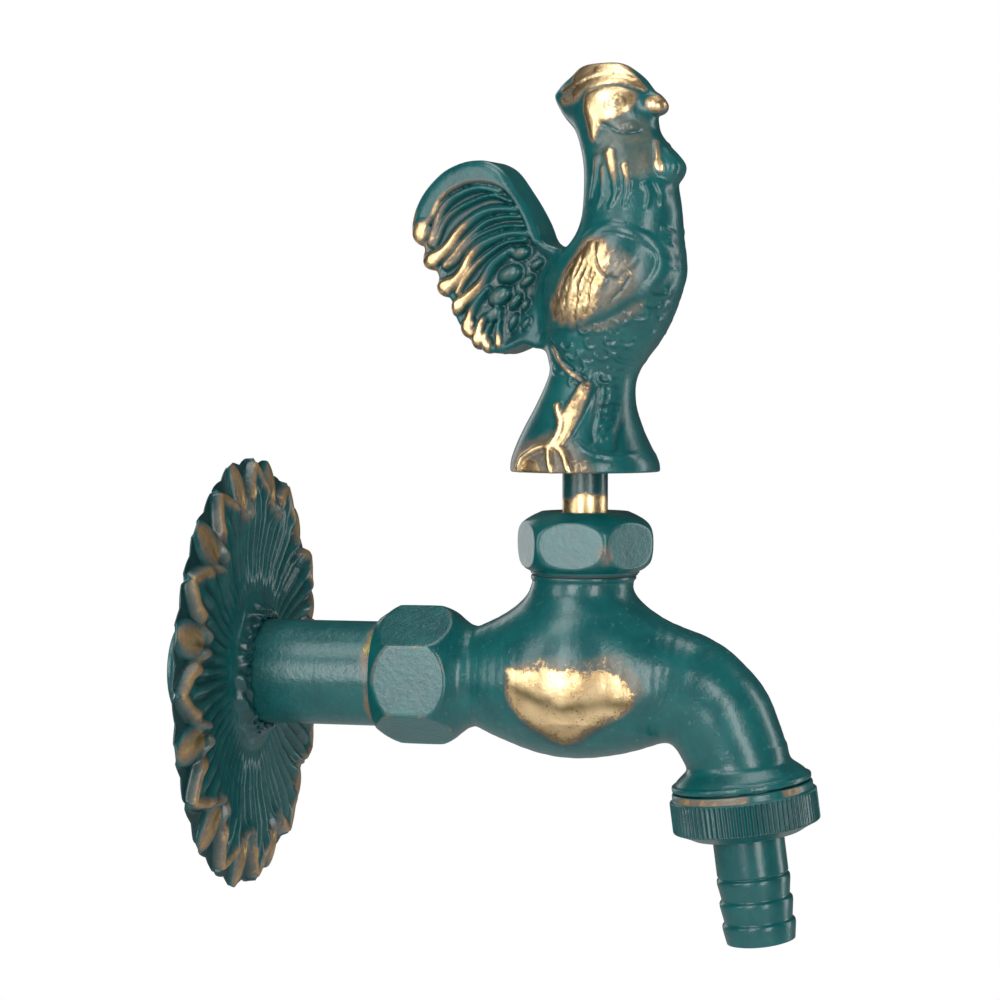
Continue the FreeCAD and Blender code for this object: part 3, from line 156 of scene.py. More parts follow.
class Chart:
    """Relief, wear and darkening drawn flat over the side of a casting, in millimetres."""

    def __init__(self, low, high, step):
        self.low = np.array(low, float)
        self.step = step
        u = np.arange(low[0], high[0] + step, step)
        w = np.arange(low[1], high[1] + step, step)
        self.u, self.w = np.meshgrid(u, w, indexing="ij")
        self.height = np.zeros(self.u.shape)
        self.rub = np.zeros(self.u.shape)
        self.patina_and_shade = np.zeros(self.u.shape)

    def part(self, points, margin):
        """Window of the chart round some points."""
        low = np.floor((points.min(0) - margin - self.low) / self.step).astype(int)
        high = np.ceil((points.max(0) + margin - self.low) / self.step).astype(int)
        low = np.clip(low, 0, None)
        return slice(low[0], max(high[0], low[0] + 1)), slice(low[1], max(high[1], low[1] + 1))

    def ridge(self, points, half_width, height, rub=0.0, rub_end=None, taper=0.0):
        """Raised line; rub and rub_end are its wear at the first and last point."""
        line = smooth_line(points)
        box = self.part(line, half_width * 2)
        away, along = line_distance(self.u[box], self.w[box], line)
        wide = half_width * (1 - taper * along)
        rise = np.sqrt(np.clip(1 - (away / wide) ** 2, 0, 1))
        lift = height * (1 - 0.4 * taper * along) - self.height[box]
        self.height[box] += np.maximum(lift, 0) * rise
        rub_end = rub if rub_end is None else rub_end
        worn = (rub + (rub_end - rub) * along ** 1.5) * soft_step(wide * 1.25, wide * 0.3, away)
        self.rub[box] = np.maximum(self.rub[box], worn)

    def groove(self, points, half_width, depth, patina_and_shade=0.8):
        line = smooth_line(points)
        box = self.part(line, half_width * 2)
        away, _ = line_distance(self.u[box], self.w[box], line)
        sink = soft_step(half_width, 0, away)
        self.height[box] -= depth * sink
        self.patina_and_shade[box] = np.maximum(self.patina_and_shade[box], patina_and_shade * sink)
        self.rub[box] *= 1 - 0.8 * patina_and_shade * sink

    def knob(self, place, half, height, turn=0.0, rub=0.0, ring=0.0):
        """Raised oval with a soft top; ring is the depth of a groove round it."""
        points = np.array([[place[0], place[1]]])
        box = self.part(points, max(half) * 2)
        du = self.u[box] - place[0]
        dw = self.w[box] - place[1]
        c, s = math.cos(math.radians(turn)), math.sin(math.radians(turn))
        away = np.hypot((du * c + dw * s) / half[0], (dw * c - du * s) / half[1])
        rise = np.sqrt(np.clip(1 - away ** 2, 0, 1))
        self.height[box] += np.maximum(height - self.height[box], 0) * rise
        self.patina_and_shade[box] *= 1 - 0.9 * rise
        if ring:
            round_it = np.exp(-((away - 1.12) / 0.16) ** 2)
            self.height[box] -= ring * round_it
            self.patina_and_shade[box] = np.maximum(self.patina_and_shade[box], 0.7 * round_it)
        self.rub[box] = np.maximum(self.rub[box], rub * soft_step(1.1, 0.4, away))

    def wear(self, values):
        self.rub = np.maximum(self.rub, values)

    def darken(self, values):
        self.patina_and_shade = np.maximum(self.patina_and_shade, values)

    def field(self, points, soft):
        """How far inside a closed outline each place lies, from 0 outside to 1."""
        line = smooth_line(points, closed=True)
        return soft_step(soft, -soft, outline_distance(self.u, self.w, line))

    def read(self, values, u, w):
        """Values of the chart at other places."""
        x = np.clip((u - self.low[0]) / self.step, 0, values.shape[0] - 1.001)
        y = np.clip((w - self.low[1]) / self.step, 0, values.shape[1] - 1.001)
        i = x.astype(int)
        j = y.astype(int)
        fx = x - i
        fy = y - j
        return (values[i, j] * (1 - fx) * (1 - fy) + values[i + 1, j] * fx * (1 - fy)
                + values[i, j + 1] * (1 - fx) * fy + values[i + 1, j + 1] * fx * fy)


SETTLING_PASSES = 2


def sample_axes(low, high, step):
    """Places along each axis of a box, and the same shaped as the sides of a grid."""
    axes = [np.arange(start, end, step) for start, end in zip(low, high)]
    return axes, np.ix_(*axes)


def sample_grid(field, cells):
    """Reads a grid between its points."""
    limit = np.array(field.shape) - 1.001
    cells = np.clip(cells, 0, limit)
    base = cells.astype(int)
    part = cells - base
    total = np.zeros(len(cells))
    for corner in range(8):
        step = np.array([(corner >> axis) & 1 for axis in range(3)])
        share = np.prod(np.where(step, part, 1 - part), axis=1)
        place = base + step
        total += share * field[tuple(place.T)]
    return total


def surface_of(field, low, step):
    """Skin of the places where a sampled distance field is below zero, as points and quads."""
    inside = field < 0
    count = np.zeros(np.array(field.shape) - 1, np.int8)
    shape = count.shape
    for corner in range(8):
        a, b, c = corner & 1, (corner >> 1) & 1, (corner >> 2) & 1
        count += inside[a:a + shape[0], b:b + shape[1], c:c + shape[2]]
    mixed = (count > 0) & (count < 8)
    number = np.full(shape, -1, np.int64)
    cells = np.argwhere(mixed)
    number[mixed] = np.arange(len(cells))
    total = np.zeros((len(cells), 3))
    hits = np.zeros(len(cells))
    for axis in range(3):
        others = [other for other in range(3) if other != axis]
        for corner in range(4):
            start = np.zeros(3, int)
            start[others[0]] = corner & 1
            start[others[1]] = corner >> 1
            end = start.copy()
            end[axis] = 1
            first = field[tuple((cells + start).T)]
            last = field[tuple((cells + end).T)]
            cut = (first < 0) != (last < 0)
            share = np.where(cut, first / np.where(cut, first - last, 1), 0)
            spot = start[None, :] + share[:, None] * (end - start)[None, :]
            total += np.where(cut[:, None], spot, 0)
            hits += cut
    points = cells + total / hits[:, None]
    slopes = np.gradient(field)
    for _ in range(SETTLING_PASSES):
        off = sample_grid(field, points)
        slope = np.stack([sample_grid(part, points) for part in slopes], 1)
        size = np.maximum((slope ** 2).sum(1), 1e-6)
        move = -(off / size)[:, None] * slope
        far = np.maximum(np.linalg.norm(move, axis=1) / 0.6, 1)
        points = points + move / far[:, None]
    faces = []
    for axis in range(3):
        b, c = [(1, 2), (2, 0), (0, 1)][axis]
        here = [slice(None)] * 3
        there = [slice(None)] * 3
        here[axis] = slice(0, -1)
        there[axis] = slice(1, None)
        first = inside[tuple(here)]
        last = inside[tuple(there)]
        cut = first != last
        spots = np.argwhere(cut)
        ok = np.all(spots[:, [b, c]] > 0, axis=1)
        ok &= (spots[:, b] < field.shape[b] - 1) & (spots[:, c] < field.shape[c] - 1)
        spots = spots[ok]
        flip = first[tuple(spots.T)]
        corners = []
        for back_b, back_c in ((1, 1), (0, 1), (0, 0), (1, 0)):
            place = spots.copy()
            place[:, b] -= back_b
            place[:, c] -= back_c
            corners.append(number[tuple(place.T)])
        quads = np.stack(corners, 1)
        quads = np.where(flip[:, None], quads, quads[:, ::-1])
        faces.append(quads)
    return points * step + np.array(low), np.vstack(faces)


CORNER_STEPS = 5


def rounded(points):
    """Turning profile with its corners rounded; each point is (height, radius, corner)."""
    count = len(points)
    out = []
    for i, (h, r, corner) in enumerate(points):
        here = np.array([h, r], float)
        if not corner:
            out.append(here)
            continue
        before = np.array(points[i - 1][:2], float) - here
        after = np.array(points[(i + 1) % count][:2], float) - here
        first = min(corner, np.linalg.norm(before) * 0.49)
        last = min(corner, np.linalg.norm(after) * 0.49)
        start = here + before / np.linalg.norm(before) * first
        end = here + after / np.linalg.norm(after) * last
        for t in np.linspace(0, 1, CORNER_STEPS + 1):
            out.append(start * (1 - t) ** 2 + here * 2 * t * (1 - t) + end * t * t)
    return np.array(out)


def fine(profile, longest):
    """Profile with no run longer than the given length, closed on itself."""
    out = []
    for a, b in zip(profile, np.roll(profile, -1, axis=0)):
        parts = max(1, int(math.ceil(np.linalg.norm(b - a) / longest)))
        for t in np.arange(parts) / parts:
            out.append(a * (1 - t) + b * t)
    return np.array(out)


def ring_faces(rows, sides):
    """Quads of a grid of points that closes on itself both ways."""
    i, j = np.meshgrid(np.arange(rows), np.arange(sides), indexing="ij")
    after, beside = (i + 1) % rows, (j + 1) % sides
    corners = [i * sides + j, i * sides + beside, after * sides + beside, after * sides + j]
    return np.stack(corners, 2).reshape(-1, 4)


def turned(profile, sides, limit=None):
    """Ring about the Z axis from a closed profile of (height, radius).

    limit takes the heights, radii and angles and gives the radii that are left."""
    turn = np.linspace(0, 2 * math.pi, sides, endpoint=False)
    heights = np.repeat(profile[:, 0][:, None], sides, 1)
    radii = np.repeat(profile[:, 1][:, None], sides, 1)
    turns = np.repeat(turn[None, :], len(profile), 0)
    if limit:
        radii = limit(heights, radii, turns)
    points = np.stack([radii * np.cos(turns), radii * np.sin(turns), heights], 2).reshape(-1, 3)
    return points, ring_faces(len(profile), sides)


def hexagon(turns, across, clock):
    """Distance of a hexagon's side at each angle."""
    sixth = math.pi / 3
    off = (turns - clock + sixth / 2) % sixth - sixth / 2
    return across / 2 / np.cos(off)


def build_hexagon(name, profile, outer, across, clock, inner, blend, origin, turn, wear):
    """Turned piece with a hexagon's flats.

    wear takes the heights, radii, angles and distances from the flats' borders."""

    def limit(heights, radii, turns):
        flats = hexagon(turns, across, clock)
        return np.where(radii > inner, soft_min(radii, flats, blend), radii)

    def marks(heights, radii, turns):
        free = np.interp(heights, outer[:, 0], outer[:, 1])
        return wear(heights, radii, turns, np.abs(free - hexagon(turns, across, clock))), 0.0

    make_turned(name, profile, HEX_SIDES, origin, turn, limit, marks)


def make_turned(name, profile, sides, origin, turn=None, limit=None, wear=None, flip=False):
    """Piece turned about an axis; wear gives its rub and darkening from heights, radii and angles.
    """
    points, faces = turned(profile, sides, limit)
    rub, patina_and_shade = 0.0, 0.0
    if wear:
        rub, patina_and_shade = wear(points[:, 2], np.hypot(points[:, 0], points[:, 1]),
                         np.arctan2(points[:, 1], points[:, 0]))
    faces = faces[:, ::-1] if flip else faces
    make_piece(name, place_points(points, origin, turn), faces, rub, patina_and_shade, SHARP_ANGLE)


def place_points(points, origin, turn=None):
    if turn is not None:
        points = points @ np.array(turn.to_3x3()).T
    return points + np.array(origin)


def make_piece(name, points, faces, rub, patina_and_shade, crease=0):
    """Object in metres that rides on its body and stands for its CAD node.

    crease is the angle from which an edge is sharp, or 0 for none."""
    body, node, slot, paint = PIECES[name]
    mesh = bpy.data.meshes.new(name)
    mesh.from_pydata((points * MM).tolist(), [], faces.tolist())
    mesh.validate()
    # rub marks wear through the paint; the darkening mark is patina in hollows and, on the body, a
    # painted dark reflection band
    for mark, values in (("rub", rub), ("patina_and_shade", patina_and_shade)):
        layer = mesh.attributes.new(mark, "FLOAT", "POINT")
        values = np.broadcast_to(values, len(points))
        layer.data.foreach_set("value", np.array(values, np.float32))
    mesh.shade_smooth()
    if crease:
        mesh.set_sharp_from_angle(angle=math.radians(crease))
    mesh.materials.append(finish(paint))
    piece = bpy.data.objects.new(name, mesh)
    bpy.context.scene.collection.objects.link(piece)
    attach(piece, body)
    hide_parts(node)


def ripple(points, scale, seed):
    """Smooth random values from -1 to 1 at points, from a few waves in fixed directions."""
    random = np.random.default_rng(seed)
    total = np.zeros(len(points))
    waves = 14
    for _ in range(waves):
        way = random.normal(size=3)
        way *= random.uniform(0.6, 1.7) / np.linalg.norm(way) / scale
        total += np.sin(points @ way * 2 * math.pi + random.uniform(0, 2 * math.pi))
    return total / waves * 2.2


# ---------------------------------------------------------------- finishes

class Graph:
    """Short ways to add nodes to one node tree; a value is a number, a colour or a socket."""

    def __init__(self, tree):
        self.tree = tree

    def feed(self, node, values):
        for key, value in values.items():
            if isinstance(value, bpy.types.NodeSocket):
                self.tree.links.new(value, node.inputs[key])
            else:
                node.inputs[key].default_value = value

    def add(self, kind, values=None, **settings):
        node = self.tree.nodes.new("ShaderNode" + kind)
        for key, value in settings.items():
            setattr(node, key, value)
        self.feed(node, values or {})
        return node

    def math(self, operation, a, b):
        return self.add("Math", {0: a, 1: b}, operation=operation).outputs[0]

    def times(self, a, b):
        return self.math("MULTIPLY", a, b)

    def plus(self, a, b):
        return self.math("ADD", a, b)

    def minus(self, a, b):
        return self.math("SUBTRACT", a, b)

    def ramp(self, value, low, high):
        """Soft step from 0 at low to 1 at high."""
        return self.add("MapRange", {"Value": value, "From Min": low, "From Max": high},
                        interpolation_type="SMOOTHSTEP").outputs["Result"]

    def colour(self, share, a, b):
        return self.add("Mix", {0: share, 6: a, 7: b}, data_type="RGBA").outputs[2]

    def value(self, share, a, b):
        return self.add("Mix", {0: share, 2: a, 3: b}, data_type="FLOAT").outputs[0]

    def place(self):
        return self.add("TexCoord").outputs["Object"]

    def mark(self, name):
        return self.add("Attribute", attribute_name=name).outputs["Fac"]

    def noise(self, where, scale, detail=3.0, roughness=0.55, distortion=0.0):
        values = {"Vector": where, "Scale": scale, "Detail": detail, "Roughness": roughness,
                  "Distortion": distortion}
        return self.add("TexNoise", values).outputs["Fac"]


def new_group(name, inputs, outputs):
    """Node group from its named inputs with their defaults, and its named outputs."""
    group = bpy.data.node_groups.new(name, "ShaderNodeTree")
    kinds = {True: "NodeSocketColor", False: "NodeSocketFloat"}
    for label, value in inputs.items():
        kind = kinds[isinstance(value, tuple)]
        socket = group.interface.new_socket(label, in_out="INPUT", socket_type=kind)
        socket.default_value = value
    for label in outputs:
        kind = kinds[label == "Color"]
        group.interface.new_socket(label, in_out="OUTPUT", socket_type=kind)
    given = group.nodes.new("NodeGroupInput").outputs
    return Graph(group), given, group.nodes.new("NodeGroupOutput")


def group_cast_grain():
    """Fine and wide unevenness of a casting under paint."""
    graph, given, out = new_group("cast_grain", {"Size": 1.0},
                                  ("Grain", "Cloud", "Speck", "Ragged", "Height"))
    where = graph.add("VectorMath", {0: graph.place(), "Scale": given["Size"]},
                      operation="SCALE").outputs["Vector"]
    grain = graph.noise(where, 900.0, 2.0, 0.6)
    cloud = graph.noise(where, 160.0, 4.0, 0.6, 0.4)
    speck = graph.noise(where, 2400.0, 2.0, 0.6)
    ragged = graph.noise(where, 420.0, 8.0, 0.72, 0.8)
    height = graph.plus(graph.plus(graph.times(grain, 0.6), cloud), graph.times(speck, 0.2))
    graph.feed(out, {"Grain": grain, "Cloud": cloud, "Speck": speck, "Ragged": ragged,
                     "Height": height})
    return graph.tree


PAINT_GREEN = (0.0008, 0.05, 0.053, 1.0)
PAINT_LIGHT = (0.0015, 0.07, 0.07, 1.0)
PAINT_FLECK = (0.05, 0.14, 0.135, 1.0)
# darkest paint, for patina in hollows and for painted shade in the body's dark reflection band
PAINT_PATINA_AND_SHADE = (0.0, 0.018, 0.02, 1.0)
BRASS = (0.88, 0.66, 0.37, 1.0)
BRONZE = (0.46, 0.33, 0.16, 1.0)
DULL_COPPER = (0.55, 0.38, 0.22, 1.0)
OLIVE = (0.2, 0.22, 0.06, 1.0)
TARNISH = (0.3, 0.15, 0.04, 1.0)
# darkened bare metal, for patina in hollows and for the painted dark reflection band on the body
BARE_PATINA_AND_SHADE = (0.1, 0.085, 0.035, 1.0)
BARE_FRINGE = (0.17, 0.105, 0.05, 1.0)
BARE_PIT = (0.06, 0.05, 0.03, 1.0)
HALO_DARK = (0.07, 0.068, 0.052, 1.0)
HALO_LIGHT = (0.22, 0.14, 0.095, 1.0)
# darkened thin paint, for patina in hollows and for painted shade in the same band
HALO_PATINA_AND_SHADE = (0.012, 0.022, 0.02, 1.0)


def group_worn_coat(grain_group):
    """Green paint that is rubbed through to brass where the mesh's rub mark is high."""
    graph, given, out = new_group(
        "worn_coat", {"Paint": PAINT_GREEN, "Bare": BRASS, "Amount": 1.0, "Speckle": 1.0,
                      "Shine": 1.0},
        ("Color", "Roughness", "Metallic", "Coat", "Height"))
    casting = graph.add("Group", node_tree=grain_group).outputs
    grain, cloud, speckle = casting["Grain"], casting["Cloud"], given["Speckle"]
    wave = graph.minus(cloud, 0.5)
    # darkening mark: patina in hollows, and on the body a painted dark reflection band
    patina_and_shade = graph.mark("patina_and_shade")
    worn = graph.times(graph.mark("rub"), given["Amount"])

    # the ragged edge of the bare metal, and the thin brown paint round it
    spread = graph.plus(0.7, graph.times(speckle, 1.6))
    ragged = graph.times(graph.minus(casting["Ragged"], 0.5), spread)
    edge = graph.plus(worn, graph.plus(ragged, graph.times(wave, 0.25)))
    mist = graph.plus(worn, graph.times(wave, 0.5))
    halo = graph.times(graph.ramp(mist, 0.12, 0.55), graph.ramp(worn, 0.03, 0.2))
    brass = graph.times(graph.ramp(edge, 0.46, 0.62), graph.ramp(worn, 0.24, 0.42))
    shade = graph.ramp(cloud, 0.3, 0.7)

    paint = graph.colour(shade, given["Paint"], PAINT_LIGHT)
    fleck = graph.times(graph.ramp(grain, 0.62, 0.72), speckle)
    paint = graph.colour(graph.times(fleck, 0.4), paint, PAINT_FLECK)
    paint = graph.colour(graph.times(patina_and_shade, 0.8), paint, PAINT_PATINA_AND_SHADE)

    bare = graph.colour(shade, graph.colour(0.45, given["Bare"], TARNISH), given["Bare"])
    bare = graph.colour(graph.times(patina_and_shade, 0.85), bare, BARE_PATINA_AND_SHADE)
    fringe = graph.minus(1.0, graph.ramp(edge, 0.55, 1.0))
    bare = graph.colour(graph.times(fringe, 0.6), bare, BARE_FRINGE)
    pits = graph.times(graph.ramp(casting["Speck"], 0.58, 0.68),
                       graph.times(speckle, graph.ramp(edge, 1.25, 0.7)))
    bare = graph.colour(pits, bare, BARE_PIT)

    brown = graph.colour(grain, HALO_DARK, HALO_LIGHT)
    brown = graph.colour(graph.times(patina_and_shade, 0.7), brown, HALO_PATINA_AND_SHADE)
    colour = graph.colour(graph.times(halo, 0.85), paint, brown)
    rough = graph.value(halo, graph.value(cloud, 0.24, 0.35), 0.4)
    metal = graph.math("MAXIMUM", graph.times(halo, 0.25), brass)
    graph.feed(out, {"Color": graph.colour(brass, colour, bare),
                     "Roughness": graph.value(brass, rough, 0.34),
                     "Metallic": graph.times(metal, given["Shine"]),
                     "Coat": graph.value(brass, 0.12, 0.0),
                     "Height": graph.minus(casting["Height"], graph.times(brass, 0.25))})
    return graph.tree


def new_material(name):
    material = bpy.data.materials.new(name)
    material.use_nodes = True
    tree = material.node_tree
    return material, Graph(tree), tree.nodes["Principled BSDF"]


RELIEF_DEPTH = 0.00035


def painted_material(name, group, bare, amount, speckle, bump, shine):
    _, graph, shader = new_material(name)
    coat = graph.add("Group", node_tree=group)
    graph.feed(coat, {"Paint": PAINT_GREEN, "Bare": bare, "Amount": amount, "Speckle": speckle,
                      "Shine": shine})
    coat = coat.outputs
    relief = graph.add("Bump", {"Strength": bump, "Distance": RELIEF_DEPTH,
                                "Height": coat["Height"]})
    graph.feed(shader, {"Base Color": coat["Color"], "Roughness": coat["Roughness"],
                        "Metallic": coat["Metallic"], "Coat Weight": coat["Coat"],
                        "Normal": relief.outputs["Normal"], "Coat Roughness": 0.16,
                        "Specular IOR Level": 0.45})


def plain_material(name, colour, roughness, metallic):
    """One tone with a slight unevenness."""
    _, graph, shader = new_material(name)
    dark = tuple(part * 0.85 for part in colour) + (1.0,)
    tone = graph.colour(graph.noise(graph.place(), 300.0), dark, colour + (1.0,))
    graph.feed(shader, {"Base Color": tone, "Roughness": roughness, "Metallic": metallic})


def finish(name):
    return bpy.data.materials[name]


# ---------------------------------------------------------------- settings

class TapSettings(bpy.types.PropertyGroup):
    voxel: bpy.props.FloatProperty(
        name="Casting Detail", description="Step of the sampled castings", default=0.36,
        min=0.2, max=1.5, unit="NONE")
    wear: bpy.props.FloatProperty(
        name="Wear", description="How much paint is rubbed through to the brass", default=1.0,
        min=0.0, max=2.0, subtype="FACTOR")
    relief: bpy.props.FloatProperty(
        name="Relief", description="Strength of the fine relief in the paint", default=0.25,
        min=0.0, max=1.0, subtype="FACTOR")
    floor_drop: bpy.props.FloatProperty(
        name="Floor Drop", description="How far the floor lies under the inlet axis", default=0.3,
        min=0.1, max=2.0, unit="LENGTH")


def casting_step():
    step = bpy.context.scene.tap_settings.voxel
    return step


# ---------------------------------------------------------------- cockerel

# Height, middle, half length and half width of the cockerel's body
COCKEREL_SECTIONS = [
    (-2.0, 0.0, 15.3, 15.3), (0.0, 0.0, 15.3, 15.3), (2.2, -0.1, 15.1, 15.1),
    (5.0, -0.4, 14.0, 13.8), (8.8, -0.4, 12.3, 12.0), (13.0, 0.1, 10.5, 10.2),
    (17.3, 1.1, 9.4, 8.9), (20.5, 2.2, 9.4, 8.5), (23.0, 2.9, 10.5, 8.9), (26.5, 3.9, 12.4, 9.7),
    (31.0, 5.1, 13.8, 10.8), (38.5, 6.5, 15.1, 11.6), (43.0, 8.0, 13.7, 11.1),
    (46.5, 9.6, 11.7, 10.4), (49.5, 10.4, 10.7, 9.8), (53.5, 10.6, 10.1, 9.0),
    (61.0, 9.7, 9.1, 8.2), (67.0, 7.9, 8.6, 7.4),
    (73.0, 6.0, 9.2, 7.4), (78.0, 4.6, 7.8, 5.4), (81.0, 4.2, 4.4, 2.6), (84.0, 4.2, 3.0, 2.0),
]

TAIL_EDGE = [
    (-4.6, 45.6), (-7.9, 47.0), (-9.7, 50.8), (-12.0, 54.7), (-14.4, 58.1), (-16.6, 61.0),
    (-18.5, 62.7), (-21.1, 63.9), (-23.7, 64.2), (-26.8, 64.0), (-30.2, 63.0), (-32.8, 61.6),
    (-35.6, 59.2), (-37.6, 56.7), (-39.0, 53.8), (-39.6, 50.9), (-39.1, 48.9), (-37.5, 47.6),
    (-36.4, 46.3), (-36.8, 44.7), (-36.1, 43.0), (-33.7, 41.7), (-32.9, 40.2), (-33.2, 38.6),
    (-32.2, 37.2), (-30.2, 35.8), (-29.4, 34.2), (-28.7, 31.8), (-27.2, 29.3), (-25.6, 27.5),
    (-23.9, 25.8), (-21.9, 25.0), (-18.8, 24.2), (-16.3, 24.7), (-12.4, 25.9), (-8.0, 25.0),
    (2.0, 27.0), (4.0, 36.0), (1.0, 44.0),
]

TAIL_RIM = [(-36.5, 50), (-34.1, 53.1), (-31.6, 57), (-26.9, 59.4), (-23.2, 59.9), (-19.5, 59.4),
            (-16.5, 58.1), (-14.1, 55.7), (-12, 52.4), (-10.5, 49), (-9.4, 46.9)]

# Points from root to tip, half width, height and wear at the tip
TAIL_FEATHERS = [
    ([(-17.7, 57.4), (-22, 58.4), (-26, 57.8), (-30, 55.9), (-32.2, 53.3), (-33.5, 49.9),
      (-34.3, 47.6)], 0.75, 0.8, 0.55),
    ([(-15, 55.2), (-19.5, 56.7), (-24.5, 55.6), (-28.8, 53.7), (-31, 51.7), (-32.6, 48.8),
      (-33.5, 47)], 0.5, 0.6, 0.4),
    ([(-14.1, 53.6), (-18.3, 53.8), (-22, 53.1), (-25.4, 51.2), (-27.9, 49.2), (-30.1, 46.6),
      (-33.8, 43.8)], 0.95, 1.0, 1.0),
    ([(-12.9, 52), (-16.5, 52.1), (-20.8, 51.3), (-24.2, 49), (-26.9, 46.8), (-28.8, 44.7),
      (-31, 42.7)], 0.55, 0.7, 0.6),
    ([(-12, 50.1), (-15.9, 50.3), (-19.5, 49.6), (-23.2, 48.2), (-26.3, 45.9), (-28.5, 43.6),
      (-30.7, 42.4)], 0.5, 0.6, 0.5),
    ([(-11.1, 48.5), (-14.7, 48.7), (-18.3, 48), (-22, 46.6), (-24.8, 44.3), (-26.3, 41.7),
      (-28.5, 39.4), (-31, 38.2)], 0.95, 1.0, 1.0),
    ([(-11.7, 47.2), (-15.9, 46.9), (-19.5, 45.2), (-23.2, 42.7), (-25.7, 40.1), (-26.9, 38.6),
      (-27.9, 37)], 0.55, 0.7, 0.7),
    ([(-14.7, 45.5), (-17.7, 43.8), (-19.8, 42.1), (-22, 38.7), (-24.5, 36.7), (-27.6, 34.4)],
     0.95, 0.95, 1.0),
    ([(-20.4, 37.6), (-22.6, 35.6), (-24.5, 33), (-25.4, 30.4), (-24.8, 28.5)], 0.8, 0.8, 1.0),
    ([(-18, 34.6), (-19.2, 32.9), (-22, 30.8), (-23.2, 27.4)], 0.7, 0.8, 1.0),
    ([(-19.4, 31.2), (-20.5, 29.2), (-21.4, 27.1), (-20.8, 25.8)], 0.6, 0.7, 0.9),
    ([(-17.6, 31.4), (-18, 29.7), (-18, 26)], 0.6, 0.7, 0.8),
]
TAIL_TIPS = [(-36.8, 49.8, 2.4, 60), (-34.0, 43.9, 2.3, 35), (-30.8, 38.2, 2.3, 35),
             (-27.6, 34.2, 2.0, 40), (-25.4, 29.8, 1.9, 60), (-22.9, 27.1, 1.8, 70),
             (-20.8, 25.8, 1.5, 80)]
TAIL_SCALES = [(-12.9, 44.7, 2.3, 1.4, 12), (-15.6, 40.4, 3.0, 1.9, 18), (-18, 36, 3.0, 1.9, 24),
               (-9, 42.2, 1.9, 1.0, 30), (-11.4, 38.9, 2.0, 1.0, 32), (-14.1, 34.8, 2.2, 1.1, 48),
               (-11.7, 34, 1.5, 0.9, 50), (-19.0, 32.3, 2.2, 1.4, 30), (-14.6, 30.6, 2.1, 1.0, 62),
               (-11.4, 30.2, 1.6, 0.8, 50)]

COMB_EDGE = [(-6.5, 76.2), (-5.0, 73.5), (-2.8, 71.5), (0, 71.5), (4, 74.5), (9, 75.5),
             (12.9, 75.4), (14.3, 76.1), (13.0, 78.5), (11.2, 80.3), (8.4, 81.7), (5.0, 82.1),
             (1.9, 82.1), (-0.5, 81.4), (-2.7, 79.7), (-5.2, 78.0)]
WATTLE_EDGE = [(14.2, 68.2), (16.6, 66.9), (18.6, 65.0), (20.6, 63.0), (21.9, 61.0),
               (21.4, 58.9), (19.8, 57.4), (17.0, 56.5), (13.5, 58.0), (12.0, 63.0), (12.4, 67.0)]

WING_EDGE = [(6.3, 45.5), (11.1, 45.6), (15.4, 43.6), (17.6, 40.6), (17, 36.4), (13.7, 33.5),
             (10, 31.6), (7.4, 30.6), (4, 30.2), (-0.1, 30.3), (-2.4, 31.8), (-3, 34.4),
             (-1, 37.4), (1.9, 40.3), (4.5, 43.5)]
WING_BARE = [(6.3, 46.0), (4.0, 43.5), (1.4, 39.8), (-0.4, 36.3), (-2.6, 33.4), (-2.0, 31.0),
             (1.5, 29.8), (5.0, 30.4), (8.0, 32.6), (10.4, 36.6), (12.0, 40.0), (12.4, 43.0),
             (10.6, 46.0)]


# Outline that closes the tail's rim round the sunken fan, and the fan's depth
FAN_FOOT = [(-5, 45), (-1, 40), (-1, 30), (-6, 23), (-18, 21), (-26, 24), (-32, 31), (-36, 39),
            (-38, 46)]
FAN_DEPTH = 0.8


def draw_tail(chart):
    inner = chart.field(TAIL_RIM + FAN_FOOT, 0.6)
    reach = outline_distance(chart.u, chart.w, smooth_line(TAIL_EDGE, closed=True))
    lean = 0.25 * (chart.w - 30) - 3.0 * soft_step(37, 30, chart.w)
    root = soft_step(-7.0, -12.5, chart.u - lean)
    fan = inner * root * soft_step(-0.3, -2.4, reach)
    chart.height += 0.35 * soft_step(0.3, 1.0, 1 - inner) * soft_step(0, -2.5, reach) * root
    chart.height -= FAN_DEPTH * fan
    # darker over the sunken fan
    chart.darken(0.8 * fan)
    chart.ridge(TAIL_RIM, 0.75, 0.4, 0.55, 0.0)
    for points, half, height, worn in TAIL_FEATHERS:
        line = smooth_line(points)
        box = chart.part(line, half * 4)
        away, along = line_distance(chart.u[box], chart.w[box], line)
        wide = half * (0.95 + 0.75 * along)
        rise = np.clip(1 - (away / wide) ** 2, 0, 1) ** 0.7
        level = (height * 0.9 + FAN_DEPTH) * rise - FAN_DEPTH
        raised = np.maximum(chart.height[box], level)
        chart.height[box] = np.where(rise > 0, raised, chart.height[box])
        tip = worn * soft_step(0.3, 0.8, along) * soft_step(wide * 1.2, wide * 0.2, away)
        chart.rub[box] = np.maximum(chart.rub[box], tip)
        chart.patina_and_shade[box] *= 1 - np.sqrt(rise)
    for u, w, size, turn in TAIL_TIPS:
        chart.knob((u, w), (size * 1.35, size * 0.85), 0.85, turn, 1.0)
    for u, w, long, wide, turn in TAIL_SCALES:
        chart.knob((u, w), (long, wide), 0.75, turn, 0.26, 0.35)
    rim = soft_step(-2.2, -0.2, reach) * soft_step(-28, -35, chart.u)
    chart.wear(0.75 * rim * soft_step(57, 52, chart.w))


